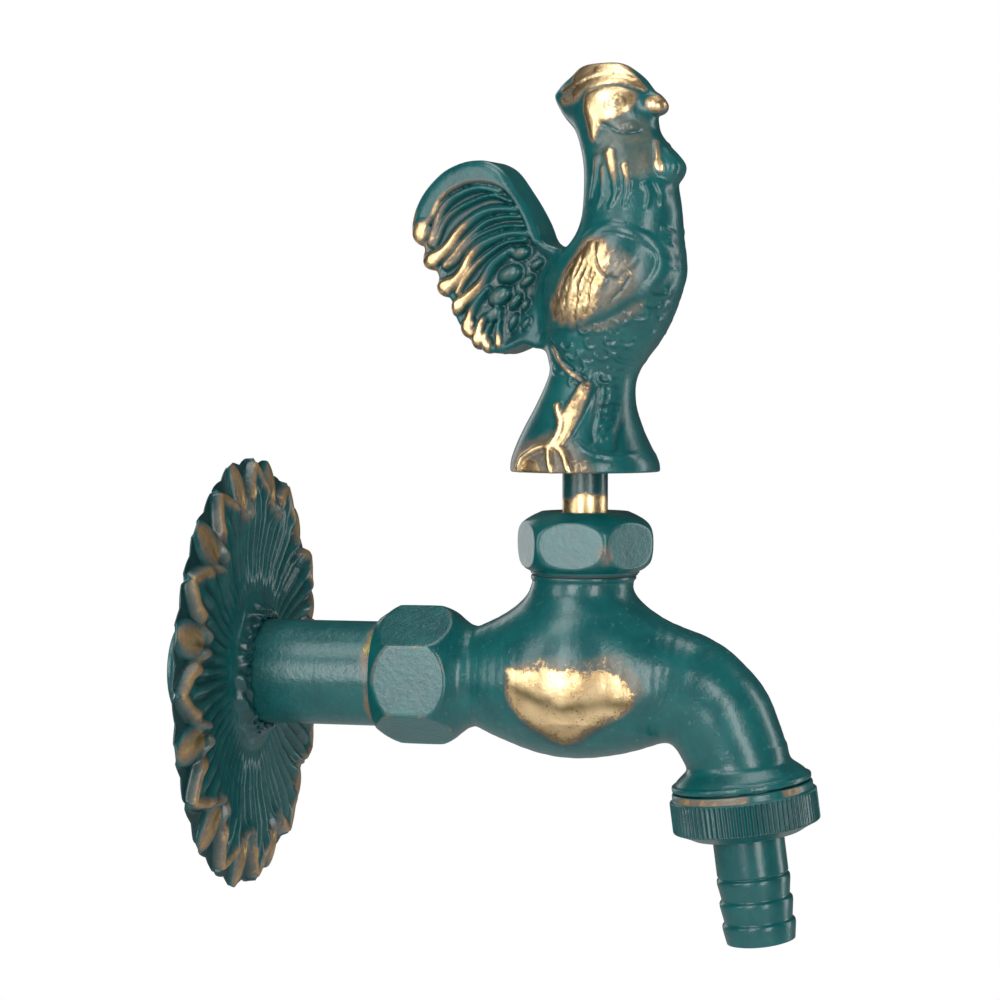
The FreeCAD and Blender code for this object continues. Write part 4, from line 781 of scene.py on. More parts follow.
WING_LINES = [
    ([(8, 45.4), (8.9, 41.4), (10.7, 39.1), (13.2, 38.3)], 0.4, 0.45),
    ([(3.4, 41.8), (1.1, 37.8), (-0.4, 33.8)], 0.3, 0.35),
    ([(6.8, 41.7), (4.8, 37.2), (4.3, 33.7), (3.4, 30.7)], 0.3, 0.35),
    ([(8.6, 39.6), (7.4, 37.2), (6.9, 33.6), (6, 31.6)], 0.35, 0.4)]
WING_STROKES, WING_SEED = 75, 5


def draw_wing(chart):
    wing = chart.field(WING_EDGE, 2.6)
    chart.height += 0.75 * wing
    fade = soft_step(14.0, 8.5, chart.u + 0.12 * (chart.w - 38))
    streaks = 0.5 + 0.5 * np.sin(2.3 * (chart.u - 0.32 * chart.w) + 1.5 * np.sin(0.5 * chart.w))
    ends = 1 - 0.45 * streaks * soft_step(35.0, 30.5, chart.w + 0.3 * chart.u)
    chart.wear(chart.field(WING_BARE, 2.6) * (0.5 + 0.55 * fade) * ends)
    chart.wear(0.42 * chart.field(WING_EDGE, 2.2))
    chart.ridge([(3.5, 44.6), (5.5, 46.6), (8.5, 48.3), (11.9, 48.6), (17, 46.8), (20.1, 43.8),
                 (20.4, 40.5), (19, 37.6), (16.2, 34.9)], 1.1, 0.45)
    for points, half, depth in WING_LINES:
        chart.groove(points, half, depth, 0.6)
    random = np.random.default_rng(WING_SEED)
    for _ in range(WING_STROKES):
        u, w = random.uniform(-2.5, 16.5), random.uniform(31.0, 45.0)
        lean = 0.18 + 0.025 * (u - 4)
        long = random.uniform(2.2, 4.6)
        top = (u + lean * long, w + long * 0.6)
        low = (u - lean * long * 1.3, w - long * 0.6)
        if chart.read(wing, *np.array([top, low]).T).min() < 0.45:
            continue
        middle = (u + random.uniform(0.05, 0.35), w)
        chart.groove([top, middle, low], random.uniform(0.18, 0.3), random.uniform(0.12, 0.26),
                     0.4)


EYE = (10.1, 73.3)
FACE_BARE = [(4.3, 76.0), (9.7, 76.8), (13.3, 75.2), (12.8, 72.1), (10.4, 70.6), (7.4, 69.2),
             (6.2, 66.3), (4.9, 66.6), (4.0, 70.5), (3.4, 74)]
COMB_BARE = [(1, 76.8), (7, 78), (12, 77.4), (14.0, 77), (12, 80.5), (8, 82.6), (2, 82.6),
             (-1, 80)]
NAPE_BARE = [(-4.0, 75.8), (-3.5, 73.8), (1.2, 73.8), (3, 76), (0, 77.4)]
THROAT_BARE = [(8, 70), (13.5, 71.5), (16, 70), (19, 63), (16, 57.5), (9, 60), (5.5, 63),
               (6.4, 68)]
# Points, half width, height and wear of the neck's feathers
HACKLES = [
    ([(6.6, 62.5), (6.1, 58.5), (5.2, 54.6)], 0.8, 0.4, 0.4),
    ([(8.2, 60.4), (8.4, 57.6), (8.4, 55.0)], 0.6, 0.4, 0.6),
    ([(9.6, 63.4), (10.6, 60), (11.7, 56.0)], 1.25, 0.5, 0.95),
    ([(12.9, 60.8), (13.6, 58.2), (14.2, 55.2)], 0.8, 0.45, 0.8),
    ([(11.2, 57), (11.4, 55.2), (10.4, 52.6)], 0.8, 0.4, 0.15),
    ([(13.6, 57.6), (13.7, 55.6), (13.3, 52.8)], 0.8, 0.4, 0.15),
    ([(8.2, 56.6), (8.0, 54.6), (7.0, 52.4)], 0.7, 0.35, 0.1),
    ([(16.8, 57), (17.6, 55), (17.4, 52.4)], 0.8, 0.4, 0.1),
    ([(18.8, 57.4), (19.6, 55.2), (19.6, 52.8)], 0.8, 0.35, 0.1)]


def draw_head(chart):
    for points, half, height in (
            ([(0.4, 76.2), (3.4, 77.2), (7.1, 78.0), (11.4, 78.1), (14.6, 76.6)], 1.1, 0.28),
            ([(4.8, 80.6), (8.6, 80.5), (11.6, 79.3), (14.0, 77.4)], 0.8, 0.3),
            ([(-3.2, 77.0), (0.6, 78.4), (4.4, 79.6), (8.0, 80.0)], 0.7, 0.25)):
        chart.ridge(points, half, height, 0.8)
    chart.groove([(2.2, 78.4), (5.6, 79.3), (9.7, 79.4), (12.4, 78.4)], 0.5, 0.22, 0.45)
    chart.groove([(5.0, 76.2), (7.6, 76.9), (9.9, 77.0), (12.2, 76.3), (14.8, 75.5)], 0.5, 0.2,
                 0.6)
    face = chart.field(FACE_BARE, 1.3)
    chart.height += 0.4 * face
    chart.wear(face)
    for outline, soft, worn in ((COMB_BARE, 1.5, 0.95), (NAPE_BARE, 1.2, 0.55),
                                (THROAT_BARE, 2.0, 0.3)):
        chart.wear(worn * chart.field(outline, soft))
    chart.knob(EYE, (2.4, 1.9), 0.55, 0, 0.9)
    for half, turn in ((2.0, 0.0), (1.05, 0.6)):
        ring = [(EYE[0] + half * math.cos(a + turn), EYE[1] + half * 0.78 * math.sin(a + turn))
                for a in np.linspace(0, 2 * math.pi, 13)]
        chart.groove(ring, 0.28, 0.2, 0.5)
    chart.knob((13.2, 68.6), (1.1, 0.9), 0.5, 0, 0.3)
    chart.groove([(7.6, 69.4), (11.5, 67.4), (14.4, 67.6)], 0.7, 0.35, 0.6)
    chart.ridge([(17.5, 65.6), (18.0, 63.6), (18.4, 61.6), (18.9, 60.4)], 0.6, 0.4, 0.55, 0.9)
    chart.knob((18.6, 60.9), (1.9, 0.95), 0.5, 108, 0.95)
    for points, half, height, worn in HACKLES:
        chart.ridge(points, half, height, worn, 0.1 * worn, 0.5)


BREAST_EDGE = [(13, 31.5), (17.2, 35.5), (19.6, 40), (19, 46), (20, 51), (27, 48), (27, 38),
               (24, 30), (17, 22), (9, 18.5), (1, 18.5), (-6, 23), (-7, 27), (3, 28.2)]
BREAST_SEED = 11


def scale_arc(middle, size, start, span, shares):
    """Points along part of an oval; the shares run from 0 at its start to 1 at its end."""
    return [(middle[0] + size * math.cos(start + span * t),
             middle[1] + size * 0.8 * math.sin(start + span * t)) for t in shares]


def draw_breast(chart):
    """Loose small scales on breast and belly, as uneven arcs."""
    places = chart.field(BREAST_EDGE, 1.0)
    random = np.random.default_rng(BREAST_SEED)
    for row, w in enumerate(np.arange(18.5, 52, 2.5)):
        for u in np.arange(-7, 27, 3.1):
            middle = (u + 1.5 * (row % 2) + random.uniform(-0.5, 0.5),
                      w + random.uniform(-0.5, 0.5))
            size = random.uniform(1.0, 1.6)
            start = random.uniform(0.75, 1.25) * math.pi
            span = random.uniform(0.7, 1.25) * math.pi
            if random.uniform() < 0.2 or chart.read(places, *map(np.array, middle)) < 0.5:
                continue
            arc = scale_arc(middle, size, start, span, np.linspace(0, 1, 6))
            chart.ridge(arc, 0.45, random.uniform(0.26, 0.48))
            arc = scale_arc(middle, size * 0.6, start, span, np.linspace(0.1, 0.9, 5))
            chart.groove(arc, 0.35, 0.2, 0.45)
    chart.groove([(-8.3, 27.8), (-3.4, 28.1), (3.4, 28.4), (12, 31.5), (16.2, 34.9)], 0.9, 0.28,
                 0.2)
    chart.wear(0.4 * chart.field([(2, 29.0), (10, 30.6), (16.5, 34.6), (16, 31.4), (9, 28)], 1.4))


LEG_EDGE = [(4, 18.1), (1.8, 14.5), (0.8, 12.2), (0.2, 8), (-1.1, 5.7), (1.5, 5.2), (2.8, 6.1),
            (4, 9.4), (5, 13.3), (5.9, 17.8)]
# Points and half width of each toe
TOES = [([(-1.1, 5.7), (-3.4, 5.2), (-5.3, 4.3), (-7.2, 3.1), (-8.2, 0.8)], 0.85),
        ([(-0.8, 5.4), (-0.2, 3.4), (0.5, 1.6), (0.9, 0)], 0.8),
        ([(0.5, 5.7), (2.2, 4.6), (3.6, 2.8), (4.7, 0)], 0.8)]
FOOT_BARE = [(-11.2, 0.4), (-6.8, 2.3), (-4, 2.6), (-2, 1.2), (-2.4, -1.5), (-11, -1.5)]
FOOT_STAIN = [(-13, 2), (-9, 6.2), (-4, 7.6), (1, 9), (4.5, 6.4), (9, 1.5), (8, -2), (-13, -2)]
# Streaked panel beside the leg
PANEL_EDGE = [(7.2, 17.8), (10.0, 18.4), (10.2, 12), (10.2, 7.6), (7.8, 7.6)]


def draw_legs(chart):
    chart.groove([(-4.6, 27), (-3, 25.6), (-0.4, 22.1), (4, 19.3), (4.9, 18)], 0.5, 0.5)
    chart.ridge([(-3.2, 25.2), (-0.8, 21.5), (3.6, 18.6)], 0.6, 0.3, 0.6)
    leg = chart.field(LEG_EDGE, 0.5)
    chart.height += 0.9 * leg
    chart.wear(0.62 * leg)
    chart.ridge([(-0.8, 13.3), (0.2, 11.4), (0.9, 9.6), (0.6, 7.4), (-0.4, 5.8)], 1.0, 1.2, 0.8,
                1.0)
    for points, half in TOES:
        chart.ridge(points, half, 1.1, 1.0)
    chart.wear(0.95 * chart.field(FOOT_BARE, 1.2))
    chart.wear(0.45 * chart.field(FOOT_STAIN, 2.2))
    panel = chart.field(PANEL_EDGE, 0.6)
    streaks = np.sin(chart.u * 5.2 + np.sin(chart.w * 1.1) * 0.8)
    streaks = streaks * (0.6 + 0.4 * np.sin(chart.w * 3))
    cross = np.sin(chart.w * 3.9 + 1.5 * np.sin(chart.u * 1.7))
    chart.height += panel * (0.25 + 0.22 * streaks + 0.05 * cross)
    # darker in the panel's streak valleys
    chart.darken(0.5 * panel * (streaks < -0.35))
    chart.groove([(7.0, 13.7), (8.6, 13.9), (10.0, 13.5)], 0.4, 0.3)
    for points in ([(6.9, 17.6), (6.7, 13), (6.6, 9), (7.4, 6.2)],
                   [(10.6, 18.4), (10.6, 12), (10.6, 8), (11.2, 4.5)]):
        chart.groove(points, 0.7, 0.3, 0.5)
    chart.ridge([(4.4, 6.3), (7.5, 4.4), (11, 3.6), (13.2, 3.6)], 0.6, 0.35)


def cockerel_chart():
    chart = Chart((-43, -2), (26, 85), 0.2)
    draw_tail(chart)
    draw_breast(chart)
    draw_wing(chart)
    draw_head(chart)
    draw_legs(chart)
    return chart


def ellipse_distance(offsets, halves):
    """Rough distance to an ellipse or ellipsoid, from the offsets along its axes."""
    scaled = [offset / half for offset, half in zip(offsets, halves)]
    first = np.sqrt(sum(part ** 2 for part in scaled))
    slope = np.sqrt(sum((part / half) ** 2 for part, half in zip(scaled, halves)))
    return first * (first - 1) / np.maximum(slope, 1e-4)


def plate_distance(flat, y, half, edge):
    """Plate with rounded edges from the distance to its outline."""
    a = flat + edge
    b = np.abs(y) - half + edge
    return np.hypot(np.maximum(a, 0), np.maximum(b, 0)) + np.minimum(np.maximum(a, b), 0) - edge


COCKEREL_LOW, COCKEREL_HIGH = (-43.0, -19.0, -1.5), (25.5, 19.0, 84.5)
COMB_TOP = 82.3
# Outline, half thickness, edge radius and blend of the flat parts
COCKEREL_PLATES = ((TAIL_EDGE, 4.5, 1.3, 1.4), (COMB_EDGE, 3.0, 2.4, 3.2),
                   (WATTLE_EDGE, 3.4, 2.2, 1.6))
# Middle, half sizes and blend of the face and the beak
COCKEREL_BALLS = (((12.6, 0, 73.6), (5.2, 3.6, 3.0), 1.4),
                  ((16.4, 0, 72.9), (2.0, 2.7, 1.8), 0.5))
BEAK_TIP = (16.7, 0, 73.3)


def cockerel_field(u, y, w, flat):
    table = smooth_line(COCKEREL_SECTIONS, 8)
    middle, long, wide = [np.interp(w, table[:, 0], table[:, k]) for k in (1, 2, 3)]
    field = ellipse_distance((u - middle, y), (long, wide))
    for edge, half, corner, blend in COCKEREL_PLATES:
        away = outline_distance(*flat, smooth_line(edge, 3, closed=True))[:, None, :]
        field = soft_min(field, plate_distance(away, y, half, corner), blend)
    for place, halves, blend in COCKEREL_BALLS:
        offsets = [axis - middle for axis, middle in zip((u, y, w), place)]
        field = soft_min(field, ellipse_distance(offsets, halves), blend)
    return soft_max(field, w - COMB_TOP, 1.2)


def build_cockerel():
    step = casting_step()
    chart = cockerel_chart()
    axes, (u, y, w) = sample_axes(COCKEREL_LOW, COCKEREL_HIGH, step)
    flat = np.meshgrid(axes[0], axes[2], indexing="ij")
    relief = chart.read(chart.height, *flat)[:, None, :]
    away = np.abs(y)
    lower = soft_step(24, 19, w)
    side = soft_step(1.0, 3.2, away) * (1 - lower) + soft_step(3.0, 7.5, away) * lower
    # the far side of the breast is smoother
    far = soft_step(1.0, 4.0, y) * soft_step(4, 8, u) * soft_step(60, 52, w)
    field = cockerel_field(u, y, w, flat) - relief * side * (1 - 0.7 * far)
    points, faces = surface_of(soft_max(field, -w, 0.35), COCKEREL_LOW, step)
    u, y, w = points.T
    side = soft_step(0.8, 3.0, np.abs(y))
    outer = soft_step(-28, -34, u) * soft_step(58, 52, w)
    rub = chart.read(chart.rub, u, w) * np.maximum(side, outer)
    rub = np.maximum(rub, soft_step(79.5, 81.5, w) * 0.75 * soft_step(-1, 2, u))
    beak = np.linalg.norm((points - np.array(BEAK_TIP)) / np.array([1, 3.4, 1]), axis=1)
    rub = np.maximum(rub, soft_step(2.3, 1.3, beak))
    turn = Matrix.Rotation(math.radians(HANDLE_YAW), 4, "Z")
    make_piece("cockerel_casting", place_points(points, (BONNET_X, 0, HANDLE_FOOT), turn), faces,
               rub, chart.read(chart.patina_and_shade, u, w) * side)


# ---------------------------------------------------------------- body

# Distance from the wall, height, radius along the run from inlet to outlet
BODY_SPINE = [
    (44.0, 0, 10.3), (47.5, 0, 10.3), (50.5, 0, 10.25), (55.2, 0, 11.0), (61.8, 0, 13.6),
    (70.5, 0, 16.15), (78.8, 0, 15.4), (88.5, -0.2, 12.5), (96.3, -2.1, 10.9), (101.2, -6.5, 10.9),
    (103.8, -11.3, 10.5), (105.3, -15.2, 10.3), (106.0, -18.9, 10.4), (106.3, -21.0, 10.5),
]
# Radius of the neck under the bonnet by height
NECK_PROFILE = [(-6, 14.0), (0, 15.2), (6.0, 15.2), (10.0, 14.6), (12.8, 13.6), (15.0, 12.2),
                (16.8, 11.2), (18.4, 10.6), (20.2, 10.4), (20.5, 10.7), (20.9, 10.8), (22, 10.8)]


BODY_LOW, BODY_HIGH = (43.0, -18.0, -29.0), (121.0, 18.0, 22.5)
BODY_START = 44.2
# Where the spine's two halves overlap, so that the bend doesn't fill itself
SPINE_OVERLAP = (94.0, 97.0)
NECK_FOOT = -6.0
NECK_TOP = 21.5
FLARE_FOOT = -7.0
FLANGE_R = 14.15
FLANGE_LEN = 0.95
OUTLET_BORE_R = 8.6
OUTLET_BORE_LEN = 4.0
# Radius and floor of the valve chamber and of the hole in its seat
CHAMBER = ((8.3, 4.5), (5.0, 1.0))


def tube_distance(flat, y, spine):
    """Distance to a tube along a spine of (x, z, radius)."""
    best = 1e9
    for (ax, az, ar), (bx, bz, br) in zip(spine[:-1], spine[1:]):
        size = (bx - ax) ** 2 + (bz - az) ** 2
        off_x, off_z = flat[0] - ax, flat[1] - az
        t = np.clip((off_x * (bx - ax) + off_z * (bz - az)) / size, 0, 1)
        away = (off_x - t * (bx - ax)) ** 2 + (off_z - t * (bz - az)) ** 2
        here = np.sqrt(away[:, None, :] + y ** 2) - (ar + (br - ar) * t)[:, None, :]
        best = np.minimum(best, here)
    return best


def build_body():
    step = casting_step()
    axes, (x, y, z) = sample_axes(BODY_LOW, BODY_HIGH, step)
    flat = np.meshgrid(axes[0], axes[2], indexing="ij")
    spine = smooth_line(BODY_SPINE, 4)
    low, high = SPINE_OVERLAP
    field = soft_min(tube_distance(flat, y, spine[spine[:, 0] < high]),
                     tube_distance(flat, y, spine[spine[:, 0] > low]), 1.2)
    neck = smooth_line(NECK_PROFILE, 5)
    lean = 0.3 + 0.35 * soft_step(20.8, 18.5, z)
    column = np.hypot(x - BONNET_X + lean, y) - np.interp(z, neck[:, 0], neck[:, 1])
    column = np.maximum(column, NECK_FOOT - z)
    field = soft_min(field, column * 0.9, 4.5)
    field = soft_max(field, z - NECK_TOP, 0.3)

    tilt = math.radians(OUTLET_TILT)
    along = (x - OUTLET[0]) * math.sin(tilt) - (z - OUTLET[2]) * math.cos(tilt)
    across = (x - OUTLET[0]) * math.cos(tilt) + (z - OUTLET[2]) * math.sin(tilt)
    radius = np.hypot(across, y)
    flare = np.maximum(radius - 9.9 - 3.6 * soft_step(-5.6, -0.7, along) ** 1.4,
                       FLARE_FOOT - along)
    field = soft_min(field, flare * 0.85, 0.8)
    field = soft_min(field, np.maximum(radius - FLANGE_R, -FLANGE_LEN - along), 0.35)
    field = soft_max(field, along - 0.25, 0.2)
    field = soft_max(field, BODY_START - x, 0.4)
    bore = np.maximum(radius - OUTLET_BORE_R, -OUTLET_BORE_LEN - along)
    field = soft_max(field, -bore, 0.3)
    middle = np.hypot(x - BONNET_X, y)
    wells = [np.maximum(middle - radius, floor - z) for radius, floor in CHAMBER]
    field = soft_max(field, -np.minimum(*wells), 0.3)
    points, faces = surface_of(field, BODY_LOW, step)
    make_piece("body_casting", points, faces, *body_wear(points))
    build_inlet_hex()
    build_outlet_thread()


ALMOND = [(60.3, 1.7), (60.7, 3.7), (67.7, 4.6), (73.8, 4.0), (79.9, 4.1), (84.3, 2.7),
          (86.4, 0), (86.7, -2.4), (85.4, -4.9), (79.6, -8.0), (72.3, -12.2), (65.3, -8.5),
          (61.2, -4.4), (60.1, -1.1)]
# Painted dark reflection: path of a dark band across the almond, as distances from the wall and
# heights
ALMOND_REFLECTION_BAND = ((60.7, 67, 72.7, 79.8, 86.2), (0.4, -2.7, -4.3, -2.9, -3.6))


def body_wear(points):
    """Rubbed almond on the bulb's side, a painted dark reflection as a band across it, a darker
    lower edge, and the stain above it.
    """
    x, y, z = points.T
    side = soft_step(5, 9, np.abs(y))
    flat = outline_distance(x, z, smooth_line(ALMOND, 4, closed=True))
    reflection_band_z = np.interp(x, *ALMOND_REFLECTION_BAND)
    wave = ripple(points, 4.0, 3)
    # painted dark reflection: a dark band across the almond along its path
    patina_and_shade = side * np.exp(-((z - reflection_band_z - 0.3 * wave) / 1.35) ** 2) * soft_step(0.4, -1.0, flat)
    # darker along the almond's lower edge
    lower = soft_step(-2.6, -0.6, flat) * soft_step(-5.0, -8.5, z) * soft_step(1.5, 0.0, flat)
    patina_and_shade = np.maximum(patina_and_shade * (0.8 + 0.2 * wave), 0.75 * side * lower)
    halo = soft_step(4.6, 0.0, flat + 0.3 * (68 - x).clip(0, 8)) * soft_step(-9, 1, z)
    stain = np.exp(-((x - 80.6) / 5.4) ** 2 - ((z - 5.2) / 2.3) ** 2)
    halo = np.maximum(0.4 * halo, 0.42 * stain)
    rub = side * np.maximum(1.1 * soft_step(1.2, -2.4, flat), halo)
    return rub, np.clip(patina_and_shade, 0, 1)


def build_inlet_hex():
    """Hexagon that the pipe screws into, with its turned ends."""
    outer = smooth_line([(31.1, 11.9), (32.7, 13.0), (34.4, 14.1), (36.0, 14.55), (42.8, 14.6),
                         (44.8, 14.2), (46.6, 13.2), (48.2, 11.9), (49.8, 10.8), (51.5, 10.3)], 6)
    profile = fine(np.vstack([[31.1, 10.8], outer, [51.5, 9.0], [31.1, 9.0]]), 0.45)

    def wear(heights, radii, turns, border):
        uneven = 0.5 + 0.5 * np.sin(turns * 5 + heights * 0.9)
        return soft_step(0.55, 0.1, border) * (radii > 11.8) * (0.14 + 0.2 * uneven ** 3)

    build_hexagon("inlet_hexagon", profile, outer, 25.2, math.pi / 2, 9.5, 0.3, (0, 0, 0),
                  ALONG_PIPE, wear)


def build_outlet_thread():
    """Threaded end that the union nut runs on."""
    profile = [(0.2, 12.6, 0.2)]
    for turn in range(4):
        foot = 0.9 + turn * 1.2
        profile += [(foot, 12.6, 0.15), (foot + 0.5, 13.15, 0.2), (foot + 0.7, 13.15, 0.2)]
    profile += [(5.8, 12.6, 0.3), (5.8, OUTLET_BORE_R, 0.3), (0.2, OUTLET_BORE_R, 0)]
    make_turned("outlet_thread", rounded(profile), ROUND_SIDES, OUTLET, ALONG_OUTLET, flip=True)


# ---------------------------------------------------------------- bonnet and spindle

def build_bonnet():
    outer = smooth_line([(0.1, 11.2), (0.8, 12.4), (2.2, 13.6), (4.6, 14.2), (7.2, 14.2),
                         (9.0, 13.6), (10.4, 12.3), (11.4, 10.7), (12.1, 9.2)], 6)
    profile = np.vstack([[2.3, 4.72], [2.3, 6.06], [0, 6.06], [0, 10.7], [-0.35, 10.75],
                         [-0.35, 11.05], outer, [12.2, 9.0], [12.2, 4.72]])

    def wear(heights, radii, turns, border):
        corner = soft_step(13.0, 13.8, radii) * soft_step(0.5, 3.0, heights)
        edge = soft_step(0.4, 0.05, border) * (radii > 11.5)
        worn = np.hypot((turns + math.pi / 3) * 14, (heights - 4.0) * 0.8)
        spot = soft_step(3.4, 0.4, worn) * (radii > 11.5)
        return np.maximum(np.maximum(0.1 * corner, 0.16 * edge), 0.4 * spot)

    turn = Matrix.Rotation(math.radians(BONNET_YAW), 4, "Z")
    build_hexagon("bonnet_nut", fine(profile, 0.4), outer, 25.0, math.radians(30), 9.3, 0.28,
                  (BONNET_X, 0, BONNET_BASE), turn, wear)


def build_spindle():
    profile = [(9.6, 3.0, 0), (9.6, 5.9, 0.4), (19.2, 5.9, 0.4), (19.2, 4.65, 0),
               (43.4, 4.65, 0.2), (43.4, 3.0, 0)]

    def wear(heights, radii, turns):
        wave = 0.6 * np.sin(turns * 2 + 0.6) + 0.3 * np.sin(turns * 5)
        drip = 0.5 + 0.5 * np.sin(turns * 9 + 1.3 * np.sin(turns * 4))
        rub = np.maximum(soft_step(38.9, 36.2, heights + wave), 0.32 * drip)
        return rub, 0.6 * (1 - drip) * (1 - rub)

    make_turned("spindle_stem", fine(rounded(profile), 0.5), STEM_SIDES, (BONNET_X, 0, 0),
                wear=wear)


# ---------------------------------------------------------------- pipe and rosette

def build_pipe():
    profile = [(-13, 8, 0.3), (-13, 10.1, 0.4)]
    for turn in range(7):
        foot = -12.2 + turn * 1.7
        profile += [(foot, 9.9, 0.2), (foot + 0.7, 10.48, 0.2), (foot + 0.95, 10.48, 0.2)]
    profile += [(-0.2, 10.1, 0.2), (0, 10.9, 0.2), (31.1, 10.9, 0), (31.1, 10.2, 0),
                (42.6, 10.2, 0), (42.6, 8, 0)]

    def wear(heights, radii, turns):
        """Bare ring where the pipe meets the hexagon."""
        wave = 0.45 * np.sin(turns * 3 + 1) + 0.25 * np.sin(turns * 7 + 2)
        rub = (0.42 + 0.12 * np.sin(turns * 5)) * soft_step(28.9, 29.9, heights + wave)
        return rub * soft_step(10, 10.5, radii), 0.0

    make_turned("inlet_pipe_tube", fine(rounded(profile), 0.8), ROUND_SIDES, (0, 0, 0),
                ALONG_PIPE, wear=wear, flip=True)


def rosette_height(radius, turn):
    """Height of the rosette's face over the wall, its wear and its dirt."""
    pitch = 2 * math.pi / ROSETTE_PETALS
    upper = (turn + pitch / 2) % pitch - pitch / 2
    lower = turn % pitch - pitch / 2
    arc = upper * radius
    low_arc = lower * radius
    base = np.interp(radius, [12, 15, 17, 25, 33, 38, 42, 45.5],
                     [4.2, 3.6, 3.2, 3.1, 4.1, 3.9, 3.5, 2.9])
    # broad lips of the pointed upper petals
    half = 9.2 * np.clip((44.2 - radius) / 11.0, 0, 1) ** 0.75
    out = np.abs(arc) - half
    ends = soft_step(30.5, 34.5, radius) * soft_step(45.2, 43.8, radius)
    lip = np.exp(-((out + 1.1) / 1.8) ** 2) * ends
    outside = soft_step(-0.3, 1.3, out) * soft_step(32.4, 35.0, radius)
    # rounded lower petals with a ridge along the middle
    reach = np.hypot(low_arc / 4.3, (radius - 39.6) / 6.4)
    petal = np.sqrt(np.clip(1 - reach ** 2, 0, 1))
    slope = np.interp(radius, [33, 37, 41, 45.5], [4.5, 4.0, 3.5, 2.8])
    low_level = slope - 1.3 + 1.5 * petal
    flutes = np.cos(upper / pitch * 2 * math.pi * 5 + 0.25 * np.sin(turn * 7 + radius * 0.05))
    fade = soft_step(15.5, 24, radius) * soft_step(41, 36, radius)
    face = base + (0.16 + 0.016 * radius) * flutes * fade * (0.8 + 0.2 * np.sin(turn * 17 + 1))
    face = face + lip * np.interp(radius, [33, 44], [1.2, 0.7])
    height = face * (1 - outside) + np.minimum(low_level, face) * outside
    bead = soft_step(15.2 + 0.5 * np.sin(turn * 11 + 2 * np.sin(turn * 3)), 13.2, radius)
    grain = np.sin(turn * 19 + 2.4 * np.sin(turn * 5))
    grain = grain * np.cos(radius * 1.9 + 1.7 * np.sin(turn * 7))
    height = height + bead * (1.7 + 0.55 * grain)
    rub = 0.68 * lip * (0.6 + 0.4 * soft_step(34, 40, radius))
    keel = petal * np.clip(1 - np.abs(low_arc) / 3.4, 0, 1)
    rub = np.maximum(rub, outside * (0.3 * soft_step(0.2, 0.7, petal) + 0.55 * keel))
    rub = np.maximum(rub, 0.16 * (flutes > 0.5) * fade)
    patina_and_shade = np.maximum(0.8 * soft_step(0.2, -0.9, flutes) * fade,
                      outside * soft_step(0.5, 0.1, petal))
    patina_and_shade = np.maximum(patina_and_shade, bead * (0.75 - 0.2 * grain))
    return height, rub, patina_and_shade


ROSETTE_INNER, ROSETTE_OUTER = 11.2, 45.5


def build_rosette():
    rings, sides = ((150, 1080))
    share = np.linspace(0, 1, rings)
    turn = np.linspace(0, 2 * math.pi, sides, endpoint=False)
    wave = -np.cos(turn * ROSETTE_PETALS)
    edge = ROSETTE_OUTER - 1.5 + np.abs(wave) * (1.2 + 0.3 * wave)
    radius = ROSETTE_INNER + share[:, None] * (edge[None, :] - ROSETTE_INNER)
    height, rub, patina_and_shade = rosette_height(radius, np.repeat(turn[None, :], rings, 0))
    front = np.stack([radius * np.cos(turn), radius * np.sin(turn), height], 2)
    rows = [front[:1] * (1, 1, 0), front, front[-1:] * (0.985, 0.985, 0.7),
            front[-1:] * (0.89, 0.89, 0)]
    points = np.concatenate(rows).reshape(-1, 3)
    marks = [np.pad(values, ((1, 2), (0, 0)), mode="edge").reshape(-1) for values in (rub, patina_and_shade)]
    faces = ring_faces(rings + 3, sides)[:, [0, 3, 2, 1]]
    # the drawing's angle runs from up towards the camera's side
    points = np.stack([points[:, 2], -points[:, 1], points[:, 0]], 1)
    make_piece("rosette_plate", points, faces, *marks)


# ---------------------------------------------------------------- union nut and hose tail

def build_union():
    profile = [(0.55, 13.3, 0.3), (0.55, 14.0, 0.25), (0.85, 14.3, 0.2), (2.0, 14.3, 0.15),
               (2.35, 14.95, 0.2), (8.5, 14.95, 0.3), (8.75, 14.3, 0.3), (9.4, 12.8, 0.8),
               (10.45, 10.8, 0.5), (10.45, 7.6, 0.2), (9.0, 7.6, 0.2), (9.0, 12.75, 0),
               (7.4, 13.3, 0)]

    def limit(heights, radii, turns):
        band = soft_step(2.2, 2.6, heights) * soft_step(8.75, 8.3, heights) * (radii > 14.0)
        return radii - 0.42 * band * (0.5 + 0.5 * np.cos(turns * KNURL_LINES)) ** 0.8

    def wear(heights, radii, turns):
        worn = 0.5 * soft_step(2.5, 1.8, heights) * soft_step(14.0, 14.25, radii)
        rub = worn * soft_step(-0.2, 0.9, np.sin(turns * 4 + 1.5 * np.sin(turns * 3)))
        tips = soft_step(14.7, 14.95, radii)
        patina_and_shade = 0.8 * (radii > 14.0) * (1 - tips) * soft_step(2.3, 2.8, heights)
        return np.maximum(rub, 0.12 * tips), patina_and_shade

    make_turned("union_ring", fine(rounded(profile), 0.35), KNURL_LINES * (12),
                OUTLET, ALONG_OUTLET, limit, wear, flip=True)


